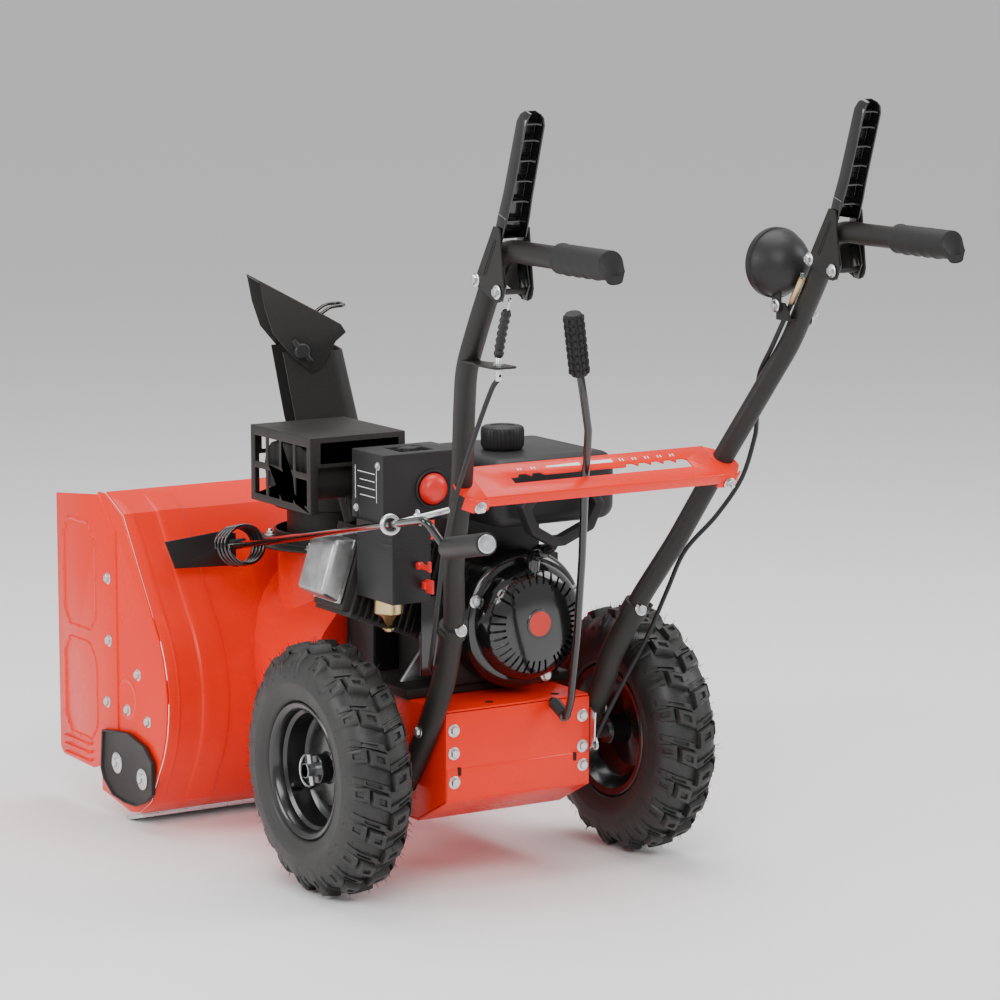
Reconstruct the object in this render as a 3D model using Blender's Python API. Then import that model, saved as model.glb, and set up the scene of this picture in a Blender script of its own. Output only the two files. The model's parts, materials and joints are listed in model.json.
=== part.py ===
"""A two-stage walk-behind snow blower, built as separate pieces on real joints.

Metres, +Z up. +Y is the way the machine drives, +X is the operator's right.
Everything is laid out from the middle of the axle; the empty snow_blower then
moves it so that the origin is under the middle of the whole machine.
"""
import math

import bmesh
import bpy
from mathutils import Matrix, Vector

# Driving dimensions
GAP = 0.0003                # clearance between pieces that touch
SHEET = 0.003               # pressed steel
TYRE_R = 0.165
TYRE_WIDTH = 0.094
TRACK = 0.466               # between the middles of the tyres
RIM_R = 0.084
AXLE_R = 0.0095
INTAKE_HALF = 0.2825        # half the width between the side plates
WING_FRONT = 0.688
INTAKE_TOP = 0.455
AUGER_Y = 0.482
AUGER_Z = 0.176
AUGER_R = 0.118
AUGER_SHAFT_R = 0.0125
WORM_CENTRES = 0.038        # auger shaft to impeller shaft
WORM_WHEEL_R = 0.0275
IMPELLER_R = 0.141
IMPELLER_SHAFT_R = 0.0095
DRUM_R = 0.150
DRUM_BACK = 0.2045
CHUTE_X = -0.035
CHUTE_Y = 0.330
CHUTE_FACES = math.radians(71.4)   # turned this far to the left of straight ahead
SPOUT_R = 0.080
SPOUT_TOP = 0.3967
CHUTE_HALF = 0.050
CHUTE_TOP = 0.665
FRAME_HALF = 0.110
FRAME_TOP = 0.240
FRAME_BOTTOM = 0.085
FRAME_BACK = -0.085
BELT_WALL = 0.140           # cross wall between gear room and belts
HEX_Y = 0.080
HEX_PINION_R = 0.0155
AXLE_GEAR_R = 0.064
FRICTION_R = 0.045
DISC_R = 0.062
CRANK_X = 0.035
CRANK_Z = 0.340
RECOIL_R = 0.092
RECOIL_BACK = -0.050
ENGINE_PULLEY_R = 0.030
IMPELLER_PULLEY_R = 0.070
DISC_PULLEY_R = 0.045
BELT = 0.008                # belt thickness and width
UPPER_TUBE_R = 0.0135
LOWER_TUBE_R = 0.0155
HANDLE_X = 0.241            # lever pivots and grips
GRIP_R = 0.0185
REAR_END = -0.672
SHOE_OUT = 0.2948           # outer edge of the skid shoes
LEFT_REACH = 0.3016         # how far the chute crank sticks out
LEVER_TOP_Z = 1.034
PANEL_HALF_DEPTH = 0.030
ROD_R = 0.005
ROUND = 24                  # sides of an ordinary round piece

IMPELLER_Z = AUGER_Z + WORM_CENTRES
AXLE_Z = TYRE_R
PLATE_OUT = INTAKE_HALF + SHEET
WING_OUT = PLATE_OUT + SHEET
GRIP_CENTRE_Z = 0.868

for old in list(bpy.data.objects):
    bpy.data.objects.remove(old, do_unlink=True)

# ---------------------------------------------------------------- materials


def material(name, colour, roughness, metallic=0.0):
    made = bpy.data.materials.new(name)
    made.use_nodes = True
    shader = made.node_tree.nodes["Principled BSDF"]
    shader.inputs["Base Color"].default_value = (*colour, 1.0)
    shader.inputs["Roughness"].default_value = roughness
    shader.inputs["Metallic"].default_value = metallic
    return made


RED = material("orange_red_enamel", (0.80, 0.028, 0.006), 0.32)
BLACK_PAINT = material("textured_black_paint", (0.022, 0.021, 0.020), 0.55)
GLOSS_BLACK = material("gloss_black_cover", (0.008, 0.008, 0.008), 0.18)
BLACK_PLASTIC = material("moulded_black_plastic", (0.025, 0.025, 0.027), 0.5)
RUBBER = material("black_rubber", (0.030, 0.030, 0.032), 0.8)
TYRE_RUBBER = material("tyre_rubber", (0.020, 0.020, 0.020), 0.75)
STEEL = material("zinc_plated_steel", (0.62, 0.62, 0.60), 0.35, 1.0)
ALUMINIUM = material("cast_aluminium", (0.66, 0.67, 0.68), 0.42, 1.0)
YELLOW_ZINC = material("yellow_zinc", (0.70, 0.58, 0.34), 0.38, 1.0)
RED_PLASTIC = material("red_plastic", (0.72, 0.015, 0.030), 0.35)

# ------------------------------------------------------------ solid makers

machine = bpy.data.objects.new("snow_blower", None)
machine.location = ((LEFT_REACH - SHOE_OUT) / 2, -(WING_FRONT + REAR_END) / 2, 0)
bpy.context.scene.collection.objects.link(machine)


def pivot(name, at, parent=machine):
    """An empty on a joint's axis, for the pieces that turn or slide there."""
    empty = bpy.data.objects.new(name, None)
    empty.empty_display_size = 0.03
    empty.parent = parent
    offset = parent["at"] if "at" in parent else (0, 0, 0)
    empty.location = Vector(at) - Vector(offset)
    empty["at"] = tuple(at)
    bpy.context.scene.collection.objects.link(empty)
    return empty


def solid(bm):
    """An unplaced object from a bmesh, with its faces pointing out."""
    bmesh.ops.recalc_face_normals(bm, faces=bm.faces)
    mesh = bpy.data.meshes.new("shape")
    bm.to_mesh(mesh)
    bm.free()
    return bpy.data.objects.new("shape", mesh)


def prism(outline, axis, low, high):
    """A flat outline drawn out along an axis. X takes (y, z), Y takes (x, z), Z takes (x, y)."""
    place = {
        "X": lambda a, b, h: (h, a, b),
        "Y": lambda a, b, h: (a, h, b),
        "Z": lambda a, b, h: (a, b, h),
    }[axis]
    bm = bmesh.new()
    ends = [[bm.verts.new(place(a, b, h)) for a, b in outline] for h in (low, high)]
    bm.faces.new(ends[0])
    bm.faces.new(ends[1])
    for i in range(len(outline)):
        j = (i + 1) % len(outline)
        bm.faces.new((ends[0][i], ends[0][j], ends[1][j], ends[1][i]))
    return solid(bm)


def box(low, high):
    return prism([(low[0], low[1]), (high[0], low[1]), (high[0], high[1]), (low[0], high[1])],
                 "Z", low[2], high[2])


def frame_of(direction):
    """Two unit vectors across a direction."""
    along = Vector(direction).normalized()
    helper = Vector((0, 0, 1)) if abs(along.z) < 0.9 else Vector((1, 0, 0))
    side = along.cross(helper).normalized()
    return side, side.cross(along)


def turned(profile, centre, direction, sides=ROUND):
    """A closed profile of (radius, height) turned about a line through centre."""
    along = Vector(direction).normalized()
    side, up = frame_of(along)
    bm = bmesh.new()
    rings = []
    for radius, height in profile:
        middle = Vector(centre) + along * height
        if radius < 1e-6:
            rings.append([bm.verts.new(middle)])
            continue
        ring = []
        for i in range(sides):
            angle = math.tau * i / sides
            ring.append(bm.verts.new(middle + radius * (math.cos(angle) * side + math.sin(angle) * up)))
        rings.append(ring)
    for k in range(len(rings)):
        first, second = rings[k], rings[(k + 1) % len(rings)]
        if len(first) == 1 and len(second) == 1:
            continue
        for i in range(sides):
            j = (i + 1) % sides
            corners = [first[i % len(first)], first[j % len(first)], second[j % len(second)], second[i % len(second)]]
            bm.faces.new(list(dict.fromkeys(corners)))
    return solid(bm)


def disc(radius, centre, direction, low, high, sides=ROUND, bore=0.0):
    """A plain cylinder, or a ring where it has a bore."""
    inner = [(bore, high), (bore, low)] if bore else [(0, high), (0, low)]
    return turned([(radius, low), (radius, high), *inner], centre, direction, sides)


def swept(points, radius, sides=10, radii=None):
    """A round bar along a route, with flat ends."""
    points = [Vector(p) for p in points]
    bm = bmesh.new()
    rings = []
    across = None
    for i, point in enumerate(points):
        before = (point - points[i - 1]).normalized() if i else None
        after = (points[i + 1] - point).normalized() if i + 1 < len(points) else None
        along = ((before or after) + (after or before)).normalized()
        if across is None:
            across = frame_of(along)[0]
        across = (across - along * across.dot(along)).normalized()
        other = along.cross(across)
        stretch = 1.0 / max(0.5, along.dot(before or after))
        bend = ((after - before) if before and after else Vector((0, 0, 0)))
        ring = []
        for k in range(sides):
            angle = math.tau * k / sides
            spoke = math.cos(angle) * across + math.sin(angle) * other
            if bend.length > 1e-6:
                inward = bend.normalized()
                spoke += inward * spoke.dot(inward) * (stretch - 1)
            ring.append(bm.verts.new(point + spoke * (radii[i] if radii else radius)))
        rings.append(ring)
    for a, b in zip(rings, rings[1:]):
        for k in range(sides):
            m = (k + 1) % sides
            bm.faces.new((a[k], a[m], b[m], b[k]))
    bm.faces.new(rings[0])
    bm.faces.new(rings[-1])
    return solid(bm)


def smooth_route(points, steps):
    """More points along a curve that passes through the given ones."""
    points = [Vector(p) for p in points]
    padded = [2 * points[0] - points[1], *points, 2 * points[-1] - points[-2]]
    route = []
    for a, b, c, d in zip(padded, padded[1:], padded[2:], padded[3:]):
        for k in range(steps):
            t = k / steps
            route.append(0.5 * (2 * b + (c - a) * t + (2 * a - 5 * b + 4 * c - d) * t * t
                                + (3 * b - a - 3 * c + d) * t ** 3))
    return [*route, points[-1]]


def lofted(sections):
    """A sheet-metal channel through matching sections, each its outer line and then its inner line back."""
    bm = bmesh.new()
    loops = [[bm.verts.new(point) for point in section] for section in sections]
    count = len(loops[0])
    for a, b in zip(loops, loops[1:]):
        for k in range(count):
            m = (k + 1) % count
            bm.faces.new((a[k], a[m], b[m], b[k]))
    for loop in (loops[0], loops[-1]):
        for k in range(count // 2 - 1):
            bm.faces.new((loop[k], loop[k + 1], loop[count - 2 - k], loop[count - 1 - k]))
    return solid(bm)


def ribbon(path, thickness):
    """The outline of a bent sheet whose outer side follows the path and whose wall lies to its left."""
    path = [Vector(p) for p in path]
    inner = []
    for i, point in enumerate(path):
        before = (point - path[i - 1]).normalized() if i else None
        after = (path[i + 1] - point).normalized() if i + 1 < len(path) else None
        along = ((before or after) + (after or before)).normalized()
        left = Vector((-along.y, along.x))
        inner.append(point + left * thickness / max(0.3, along.dot(after or before)))
    return [*path, *reversed(inner)]


def arc(centre, radius, start, end, steps):
    """Points on a circle between two angles given in degrees."""
    return [(centre[0] + radius * math.cos(math.radians(start + (end - start) * k / steps)),
             centre[1] + radius * math.sin(math.radians(start + (end - start) * k / steps)))
            for k in range(steps + 1)]


def combine(base, others, operation):
    """A Boolean of base with every one of the others."""
    group = bpy.data.collections.new(operation.lower())
    bpy.context.scene.collection.children.link(group)
    for other in others:
        other.hide_render = True
        other.display_type = "WIRE"
        other.parent = machine
        group.objects.link(other)
    modifier = base.modifiers.new(operation.title(), "BOOLEAN")
    modifier.operation = operation
    modifier.solver = "EXACT"
    modifier.operand_type = "COLLECTION"
    modifier.collection = group
    return base


def joined(base, *others):
    return combine(base, others, "UNION")


def cut(base, *others):
    return combine(base, others, "DIFFERENCE")


def piece(name, shape, finish, parent=machine, rounded=False):
    """Names a solid, gives it its finish, and hangs it on its joint."""
    shape.name = name
    shape.data.name = name
    shape.data.materials.append(finish)
    bpy.context.scene.collection.objects.link(shape)
    shape.parent = parent
    if "at" in parent:
        shape.matrix_parent_inverse = Matrix.Translation(-Vector(parent["at"]))
    if rounded:
        shape.data.shade_smooth()
        shape.data.set_sharp_from_angle(angle=math.radians(35))
    return shape


SIDES = (("left", -1), ("right", 1))

# ------------------------------------------------- intake housing and drum

WRAP_PATH = [
    (0.540, INTAKE_TOP),
    (0.487, INTAKE_TOP - 0.024),
    *arc((0.532, 0.186), 0.176, 141, 214, 8),
    (0.412, 0.042),
    (0.447, 0.020),
]


def intake_housing():
    """The curved wrap, its two side plates with bolted wings, the scraper and the skid shoes."""
    wrap = prism(ribbon(WRAP_PATH, SHEET), "X", -INTAKE_HALF + GAP, INTAKE_HALF - GAP)
    cut(wrap, disc(DRUM_R - SHEET, (0, 0, IMPELLER_Z), (0, 1, 0), 0.30, 0.50, 32))
    piece("auger_housing", wrap, RED)

    plate = [*WRAP_PATH, (0.470, 0.016), (0.560, 0.030), (0.560, INTAKE_TOP)]
    wing = [(0.502, 0.070), (0.546, 0.069), (0.580, 0.058), (0.678, 0.060), (WING_FRONT, 0.070),
            (WING_FRONT, INTAKE_TOP - 0.018), (0.552, INTAKE_TOP - 0.003), (0.540, INTAKE_TOP - 0.018),
            (0.502, INTAKE_TOP - 0.050)]
    for side, sign in SIDES:
        inner, outer = sorted((sign * INTAKE_HALF, sign * PLATE_OUT))
        low, high = sorted((sign * (PLATE_OUT - 0.001), sign * WING_OUT))
        bearing = disc(AUGER_SHAFT_R + 0.011, (sign * INTAKE_HALF, AUGER_Y, AUGER_Z), (-sign, 0, 0),
                       -0.001, 0.012, 16, AUGER_SHAFT_R + GAP)
        shape = joined(prism(plate, "X", inner, outer), prism(wing, "X", low, high), bearing)
        piece(f"side_plate_{side}", shape, RED)

    blade = [(0.4475, 0.0165), (0.4475, 0.0115), (0.490, 0.0), (0.500, 0.0), (0.500, 0.0038)]
    piece("scraper_bar", prism(blade, "X", -INTAKE_HALF + 0.004, INTAKE_HALF - 0.004), STEEL)

    shoe = [(0.386, 0.102), (0.386, 0.058), (0.404, 0.0445), (0.439, 0.031), (0.472, 0.029), (0.511, 0.033),
            (0.539, 0.051), (0.547, 0.065), (0.541, 0.121), (0.501, 0.127), (0.462, 0.131), (0.411, 0.121)]
    middle = Vector((0.466, 0.080))
    tray = [middle + (Vector(point) - middle) * 0.945 for point in shoe]
    for side, sign in SIDES:
        low, high = sorted((sign * (WING_OUT + GAP), sign * SHOE_OUT))
        floor, mouth = sorted((sign * (WING_OUT + GAP + SHEET), sign * 0.4))
        piece(f"skid_shoe_{side}", cut(prism(shoe, "X", low, high), prism(tray, "X", floor, mouth)), BLACK_PAINT)


def impeller_housing():
    """The drum that the impeller turns in, with the outlet spout that the chute stands on."""
    forward = (0, 1, 0)
    middle = (0, 0, IMPELLER_Z)
    spout_at = (CHUTE_X, CHUTE_Y, 0)
    drum = disc(DRUM_R, middle, forward, DRUM_BACK, 0.46, 32)
    joined(drum, disc(SPOUT_R, spout_at, (0, 0, 1), IMPELLER_Z, SPOUT_TOP, ROUND))
    behind_wrap = [(0.60, INTAKE_TOP + 0.05), (0.540, INTAKE_TOP + 0.05),
                   *[(y - 0.0004, z) for y, z in WRAP_PATH], (0.60, 0.0)]
    cut(drum,
        disc(DRUM_R - SHEET, middle, forward, DRUM_BACK + SHEET, 0.50, 32),
        disc(SPOUT_R - SHEET, spout_at, (0, 0, 1), IMPELLER_Z, SPOUT_TOP + 0.05, ROUND),
        disc(IMPELLER_SHAFT_R + 0.002, middle, forward, DRUM_BACK - 0.01, DRUM_BACK + 0.01, 12),
        prism(behind_wrap, "X", -0.25, 0.25))
    piece("impeller_housing", drum, RED)


def impeller():
    """Shaft, belt pulley, back plate and four paddles, welded into one rotor."""
    forward = (0, 1, 0)
    middle = (0, 0, IMPELLER_Z)
    at = pivot("impeller_axis", middle)
    shaft = disc(IMPELLER_SHAFT_R, middle, forward, 0.1615, AUGER_Y + 0.020, 12)
    front = DRUM_BACK + SHEET + 0.006
    pulley = turned([(0.006, 0.1665), (IMPELLER_PULLEY_R, 0.1665), (IMPELLER_PULLEY_R, 0.168),
                     (IMPELLER_PULLEY_R - 0.006, 0.1705), (IMPELLER_PULLEY_R - 0.006, 0.1795),
                     (IMPELLER_PULLEY_R, 0.182), (IMPELLER_PULLEY_R, 0.1835), (0.006, 0.1835)],
                    middle, forward, ROUND)
    plate = disc(IMPELLER_R * 0.75, middle, forward, front, front + 0.004, ROUND, 0.006)
    hub = disc(0.022, middle, forward, front, front + 0.050, 12, 0.006)
    blades = []
    for i in range(4):
        turn = Matrix.Translation(middle) @ Matrix.Rotation(math.radians(45 + 90 * i), 4, "Y")
        blade = box((0.012, front + 0.002, -0.002), (IMPELLER_R, front + 0.120, 0.002))
        blade.data.transform(turn)
        blades.append(blade)
    joined(shaft, pulley, plate, hub, *blades)
    piece("impeller", shaft, RED, at)


def auger_flight(sign):
    """One helical ribbon on its sleeve, held by three flat arms."""
    inner, outer = 0.034, INTAKE_HALF - 0.018
    turns, thick, ribbon_in = 1.15, 0.004, AUGER_R * 0.70
    steps = 30
    bm = bmesh.new()
    rings = []
    for i in range(steps + 1):
        along = inner + 0.006 + (outer - inner - 0.012) * i / steps
        angle = sign * math.tau * turns * i / steps
        spoke = Vector((0, math.cos(angle), math.sin(angle)))
        middle = Vector((sign * along, AUGER_Y, AUGER_Z))
        half = Vector((thick / 2, 0, 0))
        rings.append([bm.verts.new(middle + spoke * r + half * s)
                      for r, s in ((ribbon_in, -1), (AUGER_R, -1), (AUGER_R, 1), (ribbon_in, 1))])
    for a, b in zip(rings, rings[1:]):
        for k in range(4):
            m = (k + 1) % 4
            bm.faces.new((a[k], a[m], b[m], b[k]))
    bm.faces.new(rings[0])
    bm.faces.new(rings[-1])
    helix = solid(bm)
    start = Vector((sign * inner, AUGER_Y, AUGER_Z))
    sleeve = disc(AUGER_SHAFT_R + 0.0045, start, (sign, 0, 0), 0, outer - inner, 16, AUGER_SHAFT_R + GAP)
    arms = []
    for i in (2, 15, 28):
        along = inner + 0.006 + (outer - inner - 0.012) * i / steps
        angle = sign * math.tau * turns * i / steps
        spoke = Vector((0, math.cos(angle), math.sin(angle)))
        middle = Vector((sign * along, AUGER_Y, AUGER_Z))
        arms.append(swept([middle + spoke * (AUGER_SHAFT_R + 0.002), middle + spoke * (ribbon_in + 0.010)],
                          0.006, 6))
    return joined(sleeve, helix, *arms)


def auger():
    """Cross shaft with the worm wheel, a ribbon each side of the gearbox, and the gearbox itself."""
    middle = (0, AUGER_Y, AUGER_Z)
    at = pivot("auger_axis", middle)
    reach = INTAKE_HALF - 0.0015
    shaft = turned([(0, -reach), (AUGER_SHAFT_R, -reach), (AUGER_SHAFT_R, -0.010), (WORM_WHEEL_R, -0.010),
                    (WORM_WHEEL_R, 0.010), (AUGER_SHAFT_R, 0.010), (AUGER_SHAFT_R, reach), (0, reach)],
                   middle, (1, 0, 0), 16)
    piece("auger_shaft", shaft, STEEL, at, True)
    for side, sign in SIDES:
        piece(f"auger_{side}", auger_flight(sign), RED, at)

    casing = disc(WORM_WHEEL_R + 0.014, middle, (1, 0, 0), -0.026, 0.026, 20)
    worm_line = (0, 0, IMPELLER_Z)
    joined(casing, disc(0.019, worm_line, (0, 1, 0), AUGER_Y - 0.085, AUGER_Y + 0.030, 16))
    cut(casing,
        disc(WORM_WHEEL_R + 0.002, middle, (1, 0, 0), -0.012, 0.012, 20),
        disc(AUGER_SHAFT_R + GAP, middle, (1, 0, 0), -0.04, 0.04, 16),
        disc(IMPELLER_SHAFT_R * 1.04 + GAP, worm_line, (0, 1, 0), AUGER_Y - 0.10, AUGER_Y + 0.022, 12))
    piece("auger_gearbox", casing, BLACK_PAINT, machine, True)


# ----------------------------------------------------------- chute, deflector

THROW = Vector((-math.sin(CHUTE_FACES), math.cos(CHUTE_FACES), 0))
ACROSS = Vector((-math.cos(CHUTE_FACES), -math.sin(CHUTE_FACES), 0))
CHUTE_AXIS = Vector((CHUTE_X, CHUTE_Y, 0))
TILT_AT = CHUTE_AXIS + THROW * 0.001 + Vector((0, 0, CHUTE_TOP + 0.021))


def chute_point(out, side, height):
    return CHUTE_AXIS + THROW * out + ACROSS * side + Vector((0, 0, height))


def channel_section(back, front, half, height):
    """A U of sheet seen from above, open towards the throw."""
    corner = half * 0.55
    outer = [(front, -half), (back + corner, -half), (back + corner * 0.29, -half + corner * 0.29),
             (back, -half + corner), (back, half - corner), (back + corner * 0.29, half - corner * 0.29),
             (back + corner, half), (front, half)]
    inner = [(front, half - SHEET), (back + corner, half - SHEET),
             (back + corner * 0.29 + SHEET * 0.7, half - corner * 0.29 - SHEET * 0.7),
             (back + SHEET, half - corner), (back + SHEET, -half + corner),
             (back + corner * 0.29 + SHEET * 0.7, -half + corner * 0.29 + SHEET * 0.7),
             (back + corner, -half + SHEET), (front, -half + SHEET)]
    return [chute_point(out, side, height) for out, side in outer + inner]


def chute():
    """The turning chute: toothed ring, neck, collar and the leaning channel, in one."""
    at = pivot("chute_axis", (CHUTE_X, CHUTE_Y, SPOUT_TOP))
    base = SPOUT_TOP + GAP
    neck, lip, collar = SPOUT_R - 0.013, SPOUT_R + 0.005, SPOUT_R + 0.008
    rise = base + 0.052
    profile = [(neck - 0.007, base), (SPOUT_R + 0.035, base), (SPOUT_R + 0.035, base + SHEET),
               (lip, base + SHEET), (lip, base + 0.0195), (lip - SHEET, base + 0.0195),
               (lip - SHEET, base + SHEET), (neck, base + SHEET), (neck, rise), (collar, rise),
               (collar, rise + 0.058), (collar - SHEET, rise + 0.058), (collar - SHEET, rise + SHEET),
               (neck - SHEET, rise + SHEET), (neck - SHEET, base + SHEET), (neck - 0.007, base + SHEET)]
    ring = turned(profile, CHUTE_AXIS, (0, 0, 1), ROUND)
    sections = [channel_section(-0.075, 0.030, 0.070, rise + 0.001),
                channel_section(-0.028, 0.062, CHUTE_HALF, 0.565),
                channel_section(-0.006, 0.080, CHUTE_HALF - 0.003, CHUTE_TOP)]
    channel = lofted(sections)
    piece("chute", joined(ring, channel), BLACK_PAINT, at)

    half_in = CHUTE_HALF + 0.0006
    tilt = pivot("deflector_axis", TILT_AT, at)
    top = CHUTE_TOP
    cheek = [(0.112, top + 0.098), (0.001, top + 0.037), (-0.006, top + 0.026), (0.008, top + 0.014),
             (0.029, top - 0.022), (0.041, top - 0.028), (0.068, top - 0.006), (0.094, top + 0.026),
             (0.105, top + 0.060)]

    def slab(outline, low, high):
        bm = bmesh.new()
        ends = [[bm.verts.new(chute_point(out, side, height)) for out, height in outline]
                for side in (low, high)]
        bm.faces.new(ends[0])
        bm.faces.new(ends[1])
        for i in range(len(outline)):
            j = (i + 1) % len(outline)
            bm.faces.new((ends[0][i], ends[0][j], ends[1][j], ends[1][i]))
        return solid(bm)

    roof = [(0.112, top + 0.098), (0.112, top + 0.095), (0.003, top + 0.0345), (0.001, top + 0.037)]
    hood = slab(cheek, half_in, half_in + SHEET)
    joined(hood, slab(cheek, -half_in - SHEET, -half_in), slab(roof, -half_in - 0.001, half_in + 0.001))
    piece("chute_deflector", hood, BLACK_PAINT, tilt)


CRANK_EYE = Vector((-0.271, -0.225, 0.517))
WORM_END = Vector((-0.180, 0.337, 0.402))


def chute_crank():
    """Wire worm beside the toothed ring, long rod, crank arm and grip."""
    along = (CRANK_EYE - WORM_END).normalized()
    at = pivot("crank_axis", CRANK_EYE)
    side, up = frame_of(along)
    bend = WORM_END + along * 0.700
    arm = (Vector((1, 0, 0)) * 0.0235 + Vector((0, 0, -1)) * 0.0375)
    arm -= along * arm.dot(along)
    knuckle = bend + arm
    rod = swept([WORM_END - along * 0.030, bend - along * 0.008, bend + arm * 0.2, knuckle, knuckle + along * 0.012],
                ROD_R, 8)
    grip = disc(0.0135, knuckle, along, 0.008, 0.130, 16)
    coil_r, wire, turns = 0.026, 0.0025, 4
    helix = []
    for i in range(turns * 10 + 1):
        angle = math.tau * i / 10
        helix.append(WORM_END + along * (-0.026 + 0.052 * i / (turns * 10))
                     + coil_r * (math.cos(angle) * side + math.sin(angle) * up))
    coil = swept([WORM_END - along * 0.026, *helix, WORM_END + along * 0.026], wire, 5)
    joined(rod, grip, coil)
    piece("chute_crank", rod, BLACK_PAINT, at)


def clean_out_tool():
    """The paddle for clearing a blocked chute, clipped behind the intake."""
    blade = [(-0.244, 0.365), (-0.160, 0.3615), (-0.150, 0.372), (-0.150, 0.406), (-0.172, 0.411),
             (-0.2593, 0.4034)]
    shape = prism(blade, "Y", 0.4060, 0.4085)
    shaft = swept([(-0.160, 0.4055, 0.392), (-0.150, 0.404, 0.393), (-0.138, 0.403, 0.394)], 0.006, 6)
    lip = box((-0.250, 0.4068, 0.398), (-0.156, 0.4160, 0.4005))
    joined(shape, shaft, lip)
    piece("clean_out_tool", shape, BLACK_PLASTIC)


# ---------------------------------------------------------- running gear

def wheels():
    """Axle with its final gear, and a dished rim and tyre each side."""
    at = pivot("axle_axis", (0, 0, AXLE_Z))
    middle = (0, 0, AXLE_Z)
    reach = TRACK / 2 + 0.036
    gear_x = FRAME_HALF - 0.024
    axle = disc(AXLE_R, middle, (1, 0, 0), -reach, reach, 16)
    joined(axle, disc(AXLE_GEAR_R, middle, (1, 0, 0), gear_x, gear_x + 0.008, 32, AXLE_R - 0.002))
    piece("axle", axle, STEEL, at, True)
    half = TYRE_WIDTH / 2
    for side, sign in SIDES:
        out = (sign, 0, 0)
        centre = (sign * TRACK / 2, 0, AXLE_Z)
        bore = AXLE_R + GAP
        rim = [(bore, -0.040), (0.019, -0.040), (0.019, -0.008), (0.052, -0.002), (0.066, -0.014),
               (RIM_R - 0.010, -0.030), (RIM_R - 0.006, -half + 0.010), (RIM_R + 0.005, -half + 0.008),
               (RIM_R + 0.005, -half + 0.012), (RIM_R, -half + 0.014), (RIM_R, half - 0.014),
               (RIM_R + 0.005, half - 0.012), (RIM_R + 0.005, half - 0.008), (RIM_R - 0.003, half - 0.009),
               (RIM_R - 0.007, 0.020), (RIM_R - 0.010, -0.026), (0.064, -0.010), (0.050, 0.002),
               (0.019, 0.0), (0.019, 0.020), (bore, 0.020)]
        piece(f"rim_{side}", turned(rim, centre, out, 32), BLACK_PAINT, at, True)
        bead = RIM_R + GAP
        tyre = [(bead, -half + 0.0145), (bead + 0.0056, -half + 0.0127), (bead + 0.0075, -half + 0.006),
                (bead + 0.022, -half + 0.001), (TYRE_R - 0.038, -half), (TYRE_R - 0.022, -half + 0.004),
                (TYRE_R - 0.008, -half + 0.014), (TYRE_R, -half + 0.028), (TYRE_R, half - 0.028),
                (TYRE_R - 0.008, half - 0.014), (TYRE_R - 0.022, half - 0.004), (TYRE_R - 0.038, half),
                (bead + 0.022, half - 0.001), (bead + 0.0075, half - 0.006), (bead + 0.0056, half - 0.0127),
                (bead, half - 0.0145)]
        piece(f"tire_{side}", turned(tyre, centre, out, 32), TYRE_RUBBER, at, True)


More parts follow.
